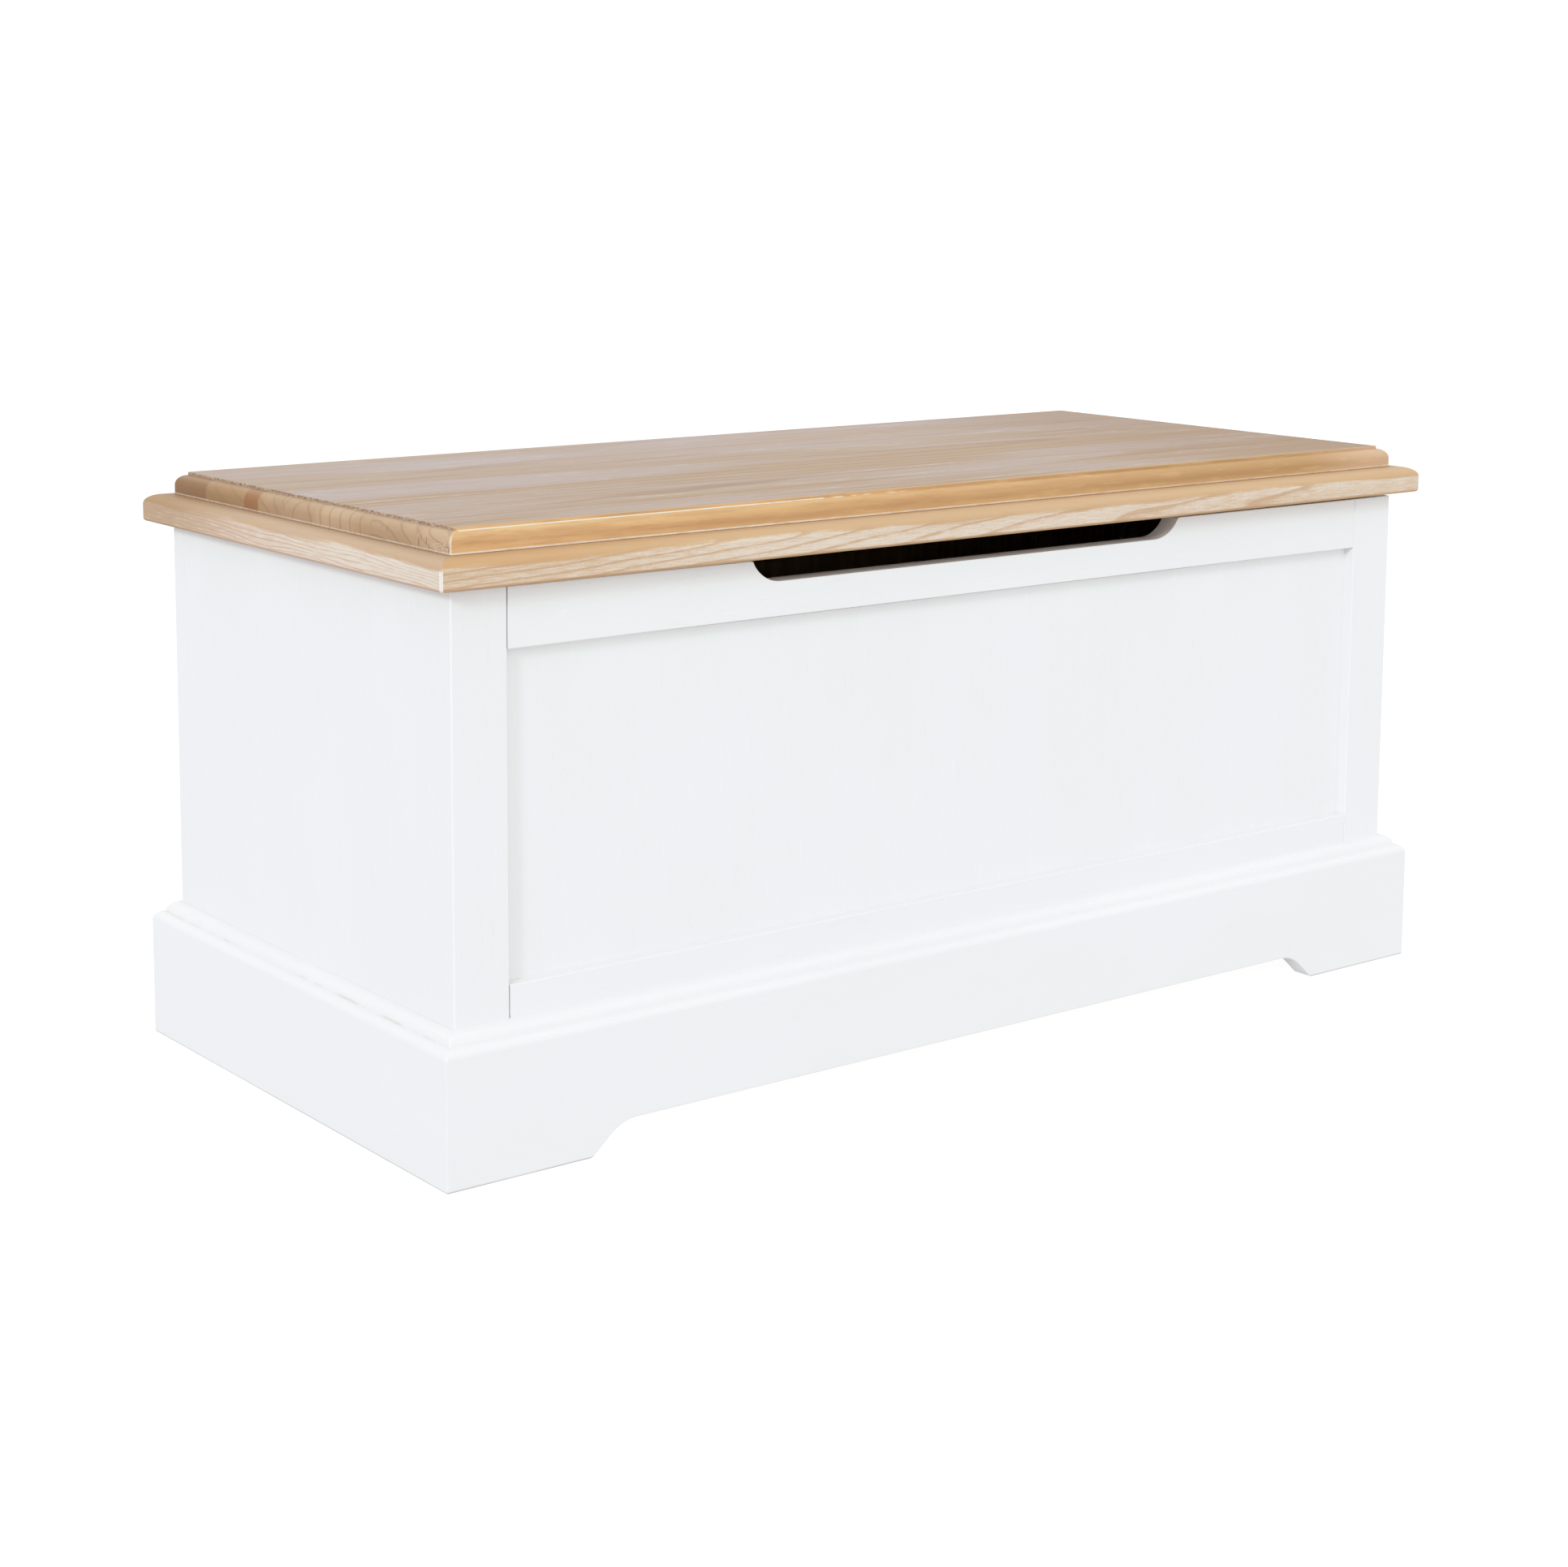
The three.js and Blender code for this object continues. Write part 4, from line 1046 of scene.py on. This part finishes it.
def edge_plank(name, face, material):
    """The front or back plank: the moulding runs along one end, round the corner, along the
    edge and back along the other end. The end's chips fade out before the corner. Flat faces
    close the top, the bottom and the joint."""
    low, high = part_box(name)
    joint = high.y if face < 0 else low.y
    turn = np.linspace(0, np.pi / 2, 7)[:, None]
    into = edge_in[None] + plank_corner
    corner_x = -tier_half_width + into - plank_corner * np.cos(turn)
    corner_y = face * (tier_half_depth - into + plank_corner * np.sin(turn))
    corner = np.stack([corner_x, corner_y, edge_height[None] + 0 * turn], -1)
    share = np.linspace(0, 1, station_count(low, high))[:, None]
    y = joint + share * (face * (tier_half_depth - into) - joint)
    run = end_points(y, -1, np.clip((1 - share) * chip_fade, 0, 1))
    half = np.concatenate([run[:-1], corner])
    path = np.concatenate([half, (half * np.array([-1, 1, 1]))[::-1]])
    count, size = path.shape[:2]
    station, step = np.meshgrid(np.arange(count - 1), np.arange(size - 1), indexing="ij")
    a = station * size + step
    faces = np.stack([a, a + 1, a + size + 1, a + size], -1).reshape(-1, 4).tolist()
    number = np.arange(count * size).reshape(count, size)
    top, bottom = number[:, -1].tolist(), number[::-1, 0].tolist()
    joint_face = number[0, ::-1].tolist() + number[-1].tolist()
    half_worn = np.concatenate([np.zeros(len(run) - 1), np.sin(2 * turn[:, 0])])
    worn = np.concatenate([half_worn, half_worn[::-1]])[:, None] * np.ones(size)
    faces += [top, bottom, joint_face]
    place_solid(name + "_shown", path, faces, worn, material, "lid", [name])


def brushed_top(place_of, figure, clouds, streaks):
    """The flat of the top, limed and greyed, with soft hazy patches drawn out along the grain,
    darker to the right, and a strip of clean wood along the front and back."""
    x, y = split(place_of)[:2]
    amount = ramp(streaks * 0.5 + clouds, 0.60, 0.95, 0.12, 0.55)
    limed = use_group(place_of.tree, limed_pine, {
        **figure, "Amount": amount, "Wood": greyed, "Late Wood": greyed_dark, "Lime": haze})
    misty = ramp(clouds, 0.42, 0.62, -0.06, 0.46) + ramp(y, -0.15, 0.20, -0.10, 0.48)
    bright = ramp(streaks, 0.54, 0.68) * ramp(figure["Fibre"], 0.5, 0.9, 0.0, 0.42)
    strip = streaks * 0.008 + (tier_half_depth - moulding_round - abs(y))
    colour = coats(limed["Color"], (misty * ramp(x, 0.10, 0.45, 1.0, 0.55), haze),
                   (ramp(figure["Fibre"], 0.42, 0.10, 0.0, 0.34), greyed_dark),
                   (ramp(x, 0.15, 0.45, 0.0, 0.52), greyed_dark), (bright, lime_line),
                   (ramp(strip, 0.0090, 0.0030), honey))
    return colour, limed["Height"]


def sanded_moulding(place_of, figure, clouds):
    """The clean moulding of front and back, honey-coloured and darker to the right, with flames
    and fibres of darker wood, a band of painted shade below the step, a pale foot and a rosy
    right end."""
    x, z = split(place_of)[::2]
    soft = noise(place_of, (7, 150))
    flame = noise(place_of, (22, 190), 3, 0.65)
    # Painted shade: a darker band across the middle of the moulding.
    hollow_shade_band = within(z, ledge_top + 0.0030, ledge_top + 0.0085, top_height - 0.0075, top_height - 0.0025)
    return coats(mix(ramp(x, -0.48, 0.40), tone_left, tone_right),
                 (ramp(soft, 0.45, 0.75, 0.0, 0.55), honey_dark),
                 (ramp(flame, 0.50, 0.64, 0.0, 0.42), honey_dark),
                 (ramp(flame, 0.46, 0.34, 0.0, 0.30), foot_pale),
                 (ramp(figure["Fibre"], 0.5, 1.0, 0.0, 0.20), honey_dark),
                 (ramp(z, ledge_top + 0.0060, ledge_top + 0.0005, 0.0, 0.45), foot_pale),
                 (hollow_shade_band * ramp(clouds, 0.40, 0.62, 0.10, 0.40), honey_dark),
                 (ramp(x, 0.36, 0.47, 0.0, 0.6), rosy))


def end_grain(place_of, figure, clouds, patch):
    """The moulded ends, pale towards the front, with the rings, a patch of a darker piece between
    two places along the end, short splits, and lime near the front corner."""
    y, z = split(place_of)[1:]
    patch_start, patch_end, patch_tone = patch
    in_patch = within(y, patch_start, patch_start + 0.0006, patch_end - 0.0006, patch_end)
    splits = noise(place_of, (0, 380, 70))
    checked = ramp(splits, 0.62, 0.68) * ramp(y, -0.07, -0.10) * 0.85
    checked = checked * ramp(z, ledge_top + 0.013, ledge_top + 0.008)
    near = ramp(y, -0.165, -0.205) * ramp(figure["Speck"], 0.50, 0.85) * 0.55
    near = near * ramp(z, ledge_top + 0.012, ledge_top + 0.005)
    return coats(mix(ramp(y, 0.11, 0.0, 0.0, 0.92), end_wood, end_pale),
                 (ramp(clouds, 0.40, 0.62, 0.0, 0.30), end_late), (figure["Rings"] * 0.45, end_late),
                 (in_patch * 0.85, patch_tone), (checked, torn_dark), (near, lime_line))


def plank_material(name, figure_values, patch):
    """Material of a plank: the brushed top, the sanded moulding, and the end grain with its torn
    dark step. Lime lies in the long step, along the foot and on the corners. Underneath the wood
    is bare."""
    material, tree, shader = new_material(name)
    place_of = mapped(tree)
    x, y, z = split(place_of)
    across, deep = abs(x), abs(y)
    figure = use_group(tree, pine_figure, {"Vector": place_of, **figure_values})
    clouds = noise(place_of, (2.4, 16), 3, 0.55)
    streaks = noise(place_of, (5, 70), 3, 0.6)
    dashes = noise(place_of, (90, 320, 900), 3, 0.7)
    top, relief = brushed_top(place_of, figure, clouds, streaks)
    on_top = ramp(z, top_height - 0.0006, top_height - 0.0002)
    on_end = ramp((tier_half_depth - deep) - (tier_half_width - across), -0.0003, 0.0003)
    # Painted highlight: the upper part of the round on the ends turns paler.
    end_round_highlight_mask = on_end * ramp(z, step_foot - 0.004, step_foot, 0.0, 0.28)

    step_in = tier_half_width - moulding_round
    end_step = within(across, step_in - 0.0018, step_in - 0.0008, step_in + 0.0004, step_in + 0.0012)
    end_step = end_step * within(z, step_foot + 0.0001, step_foot + 0.0008,
                                 top_height - 0.0005, top_height + 0.0002)
    end_step = end_step * ramp(deep, tier_half_depth - 0.004, tier_half_depth - 0.008)
    torn = mix(ramp(dashes, 0.38, 0.50), torn_dark, torn_mid)
    torn = mix(ramp(dashes, 0.58, 0.64), torn, torn_light)

    long_line = within(z, step_foot - 0.0003, step_foot, step_foot + 0.0002, step_foot + 0.0005)
    long_line = long_line * ramp(across, tier_half_width - 0.010, tier_half_width - 0.012)
    broken = dashes * 1.6 + ramp(x, -0.38, 0.05, 0.20, -0.65)
    foot_line = ramp(z, ledge_top + 0.0020, ledge_top + 0.0011) * ramp(dashes, 0.35, 0.55, 0.40, 1.0)
    foot_line = foot_line * ramp(x, -0.35, 0.35, 0.80, 0.45) * (on_end * -0.42 + 1.0)
    corner = ramp(arris_wear_and_highlight(tree), 0.5, 0.8, 0.0, 0.4) * ramp(z, step_foot, step_foot - 0.005)

    bare = mix(figure["Rings"] * 0.45 + figure["Fibre"] * 0.25, pine_early, pine_late)
    colour = coats(sanded_moulding(place_of, figure, clouds),
                   (on_end, end_grain(place_of, figure, clouds, patch)),
                   (end_round_highlight_mask, end_round_highlight), (on_top, top), (end_step, torn),
                   (long_line * ramp(broken, 0.35, 0.65), lime_line),
                   (foot_line, lime_line), (corner, lime_line),
                   (ramp(z, ledge_top + 0.0003, ledge_top + 0.0001), bare))
    finish_limed(tree, shader, colour, on_top, relief, plank_relief)
    return material


# Each plank's pith, as far from the plank's middle and above the ledge, and its rings' width.
plank_piths = ((-0.02, 0.05, 0.009), (0.03, -0.07, 0.011), (0.085, -0.006, 0.015), (0.005, -0.006, 0.015),
               (0.035, -0.05, 0.012), (-0.03, 0.08, 0.010), (0.02, -0.04, 0.010))
end_patches = {4: (0.068, 0.091, patch_brown), 6: (0.146, 0.215, block_brown)}
no_patch = (2.0, 2.0, patch_brown)
for index, (pith_y, pith_z, ring) in enumerate(plank_piths):
    name = f"lid_plank_{index + 1}"
    middle = (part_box(name)[0].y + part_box(name)[1].y) / 2
    cut_from = log(middle + pith_y, ledge_top + pith_z, ring, 0.015, 0.0, 0.020, 0.72)
    material = plank_material(f"limed_plank_{index + 1}", cut_from, end_patches.get(index, no_patch))
    if index in (0, len(plank_piths) - 1):
        edge_plank(name, -1 if index == 0 else 1, material)
    else:
        middle_plank(name, material)

# Ironwork and buffers. The butt hinges and rod stays are zinc plated steel, and the buffers are
# small rubber discs.
steel_grey = (0.60, 0.60, 0.59)
steel_dark = (0.46, 0.46, 0.46)
rubber_white = (0.72, 0.71, 0.68)
rubber_grey = (0.62, 0.61, 0.58)
iron_arris = 0.0002
iron_crease = math.radians(32)
steel_roughness, rubber_roughness = 0.22, 0.8
steel_relief = (0.15, 0.0001)


def zinc():
    """Zinc plate with faint scratches and clouds."""
    material, tree, shader = new_material("zinc_plate")
    cloud = noise(mapped(tree), (180, 180), 3)
    scratch = noise(mapped(tree), (60, 1500))
    feed(tree, shader, {"Base Color": mix(cloud, steel_grey, steel_dark), "Metallic": 1.0,
                        "Roughness": scratch * 0.25 + steel_roughness,
                        "Normal": bump(scratch, *steel_relief)})
    return material


def rubber():
    """Soft off-white rubber."""
    material, tree, shader = new_material("buffer_rubber")
    speck = noise(mapped(tree), (900, 900))
    feed(tree, shader, {"Base Color": mix(speck, rubber_white, rubber_grey),
                        "Roughness": rubber_roughness})
    return material


def eased(name, material, body):
    """A merged copy of the frame's own shape with its arrises eased."""
    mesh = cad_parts[name].data.copy()
    shell = bmesh.new()
    shell.from_mesh(mesh)
    bmesh.ops.remove_doubles(shell, verts=shell.verts[:], dist=1e-6)
    shell.to_mesh(mesh)
    shell.free()
    mesh.materials.clear()
    mesh.polygons.foreach_set("use_smooth", np.ones(len(mesh.polygons), bool))
    mesh.set_sharp_from_angle(angle=iron_crease)
    bevel = place(name + "_shown", mesh, material, body, [name]).modifiers.new("eased", "BEVEL")
    bevel.width = iron_arris
    bevel.segments = 2
    bevel.limit_method = "ANGLE"
    bevel.angle_limit = iron_crease


zinc_plate = zinc()
buffer_rubber = rubber()
for side in ("left", "right"):
    rod, swivel = f"stay_rod_{side}", f"stay_swivel_{side}"
    for part, body in (("body_leaf", "carcass"), ("lid_leaf", "lid"), ("pin", "carcass")):
        eased(f"hinge_{side}_{part}", zinc_plate, body)
    for part, body in (("lid_bracket", "lid"), ("rivet", "lid"), ("rod", rod), ("stop_nut", rod),
                       ("swivel", swivel), ("wall_bracket", "carcass")):
        eased(f"stay_{side}_{part}", zinc_plate, body)
    for end in ("front", "back"):
        eased(f"lid_buffer_{end}_{side}", buffer_rubber, "carcass")

# Screws. Countersunk steel screws with a cross recess hold the hinge leaves, the plates of the
# stays and the battens. Only their heads show, flush with what they hold.
leaf_thickness = 0.0018
leaf_screw_in = 0.0082
plate_thickness = 0.002
hinge_screws = (-0.023, 0.0, 0.023)
plate_screws = (-0.0175, 0.0175)
batten_screws = (-0.140, -0.070, 0.0, 0.070, 0.140)
hinge_head, plate_head, batten_head = 0.0029, 0.0031, 0.0038
head_dome = 0.00012
head_wall = 0.0001
head_depth = 0.0012
head_rings, head_steps = 30, 64
first_turn, next_turn = 0.7, 1.9
recess_half = 0.00045
recess_reach = 0.0021
recess_depth = 0.0009
recess_wall = 0.0002


def screw_heads(name, places, out, across, radius, body):
    """Round heads at the given places, facing out. A head is a grid of rings and steps. Its height
    is dome * (1 - r * r / R / R) less the recess, a cross of two bars with soft walls, turned
    by a different angle on each head."""
    out, across = np.array(out, float), np.array(across, float)
    reach = radius * np.concatenate([[0.55, 1.0, 1.0], np.linspace(0.99, 0.02, head_rings)])[:, None]
    turn = np.linspace(0, 2 * np.pi, head_steps, endpoint=False)
    u, v = reach * np.cos(turn), reach * np.sin(turn)
    inner, outer = np.minimum(np.abs(u), np.abs(v)), np.maximum(np.abs(u), np.abs(v))
    bars = np.clip((recess_half - inner) / recess_wall + 0.5, 0, 1)
    bars = bars * np.clip((recess_reach - outer) / (2 * recess_wall) + 0.5, 0, 1)
    height = head_dome * (1 - (reach / radius) ** 2) - recess_depth * bars
    height[0], height[1] = -head_depth, -head_wall
    angle = (first_turn + next_turn * np.arange(len(places)))[:, None, None]
    side = (u * np.cos(angle) - v * np.sin(angle))[..., None] * across
    rise = (u * np.sin(angle) + v * np.cos(angle))[..., None] * np.cross(out, across)
    heads = np.array(places)[:, None, None] + side + rise + height[..., None] * out
    faces = [face for index, head in enumerate(heads) for face in skin(head, index * height.size)]
    place_solid(name, heads, faces, np.zeros(heads.shape[:3]), zinc_plate, body)


def middle_of(box, axis):
    """The middle of a box along one axis."""
    return (box[0][axis] + box[1][axis]) / 2


leaf, lid_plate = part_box("hinge_right_body_leaf"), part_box("stay_left_lid_bracket")
wall_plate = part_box("stay_left_wall_bracket")
leaf_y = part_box("hinge_left_body_leaf")[0].y + leaf_screw_in
lid_plate_y = middle_of(lid_plate, 1)
for side, sign in (("left", -1), ("right", 1)):
    leaf_places = [(sign * middle_of(leaf, 0) + x, leaf_y) for x in hinge_screws]
    screw_heads(f"hinge_{side}_body_screws", [(*at, body_top + leaf_thickness) for at in leaf_places],
                (0, 0, 1), (1, 0, 0), hinge_head, "carcass")
    screw_heads(f"hinge_{side}_lid_screws", [(*at, lid_bottom - leaf_thickness) for at in leaf_places],
                (0, 0, -1), (1, 0, 0), hinge_head, "lid")
    plate_x = -sign * middle_of(lid_plate, 0)
    plate_z = lid_bottom - plate_thickness
    screw_heads(f"stay_{side}_lid_screws", [(plate_x, lid_plate_y + y, plate_z) for y in plate_screws],
                (0, 0, -1), (1, 0, 0), plate_head, "lid")
    wall_x = -sign * (wall_plate[0].x + plate_thickness)
    wall_y, wall_z = middle_of(wall_plate, 1), middle_of(wall_plate, 2)
    screw_heads(f"stay_{side}_wall_screws", [(wall_x, wall_y, wall_z + z) for z in plate_screws],
                (-sign, 0, 0), (0, 1, 0), plate_head, "carcass")
    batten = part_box("lid_batten_" + side)
    screw_heads(f"lid_batten_{side}_screws", [(middle_of(batten, 0), y, batten[0].z) for y in batten_screws],
                (0, 0, -1), (1, 0, 0), batten_head, "lid")
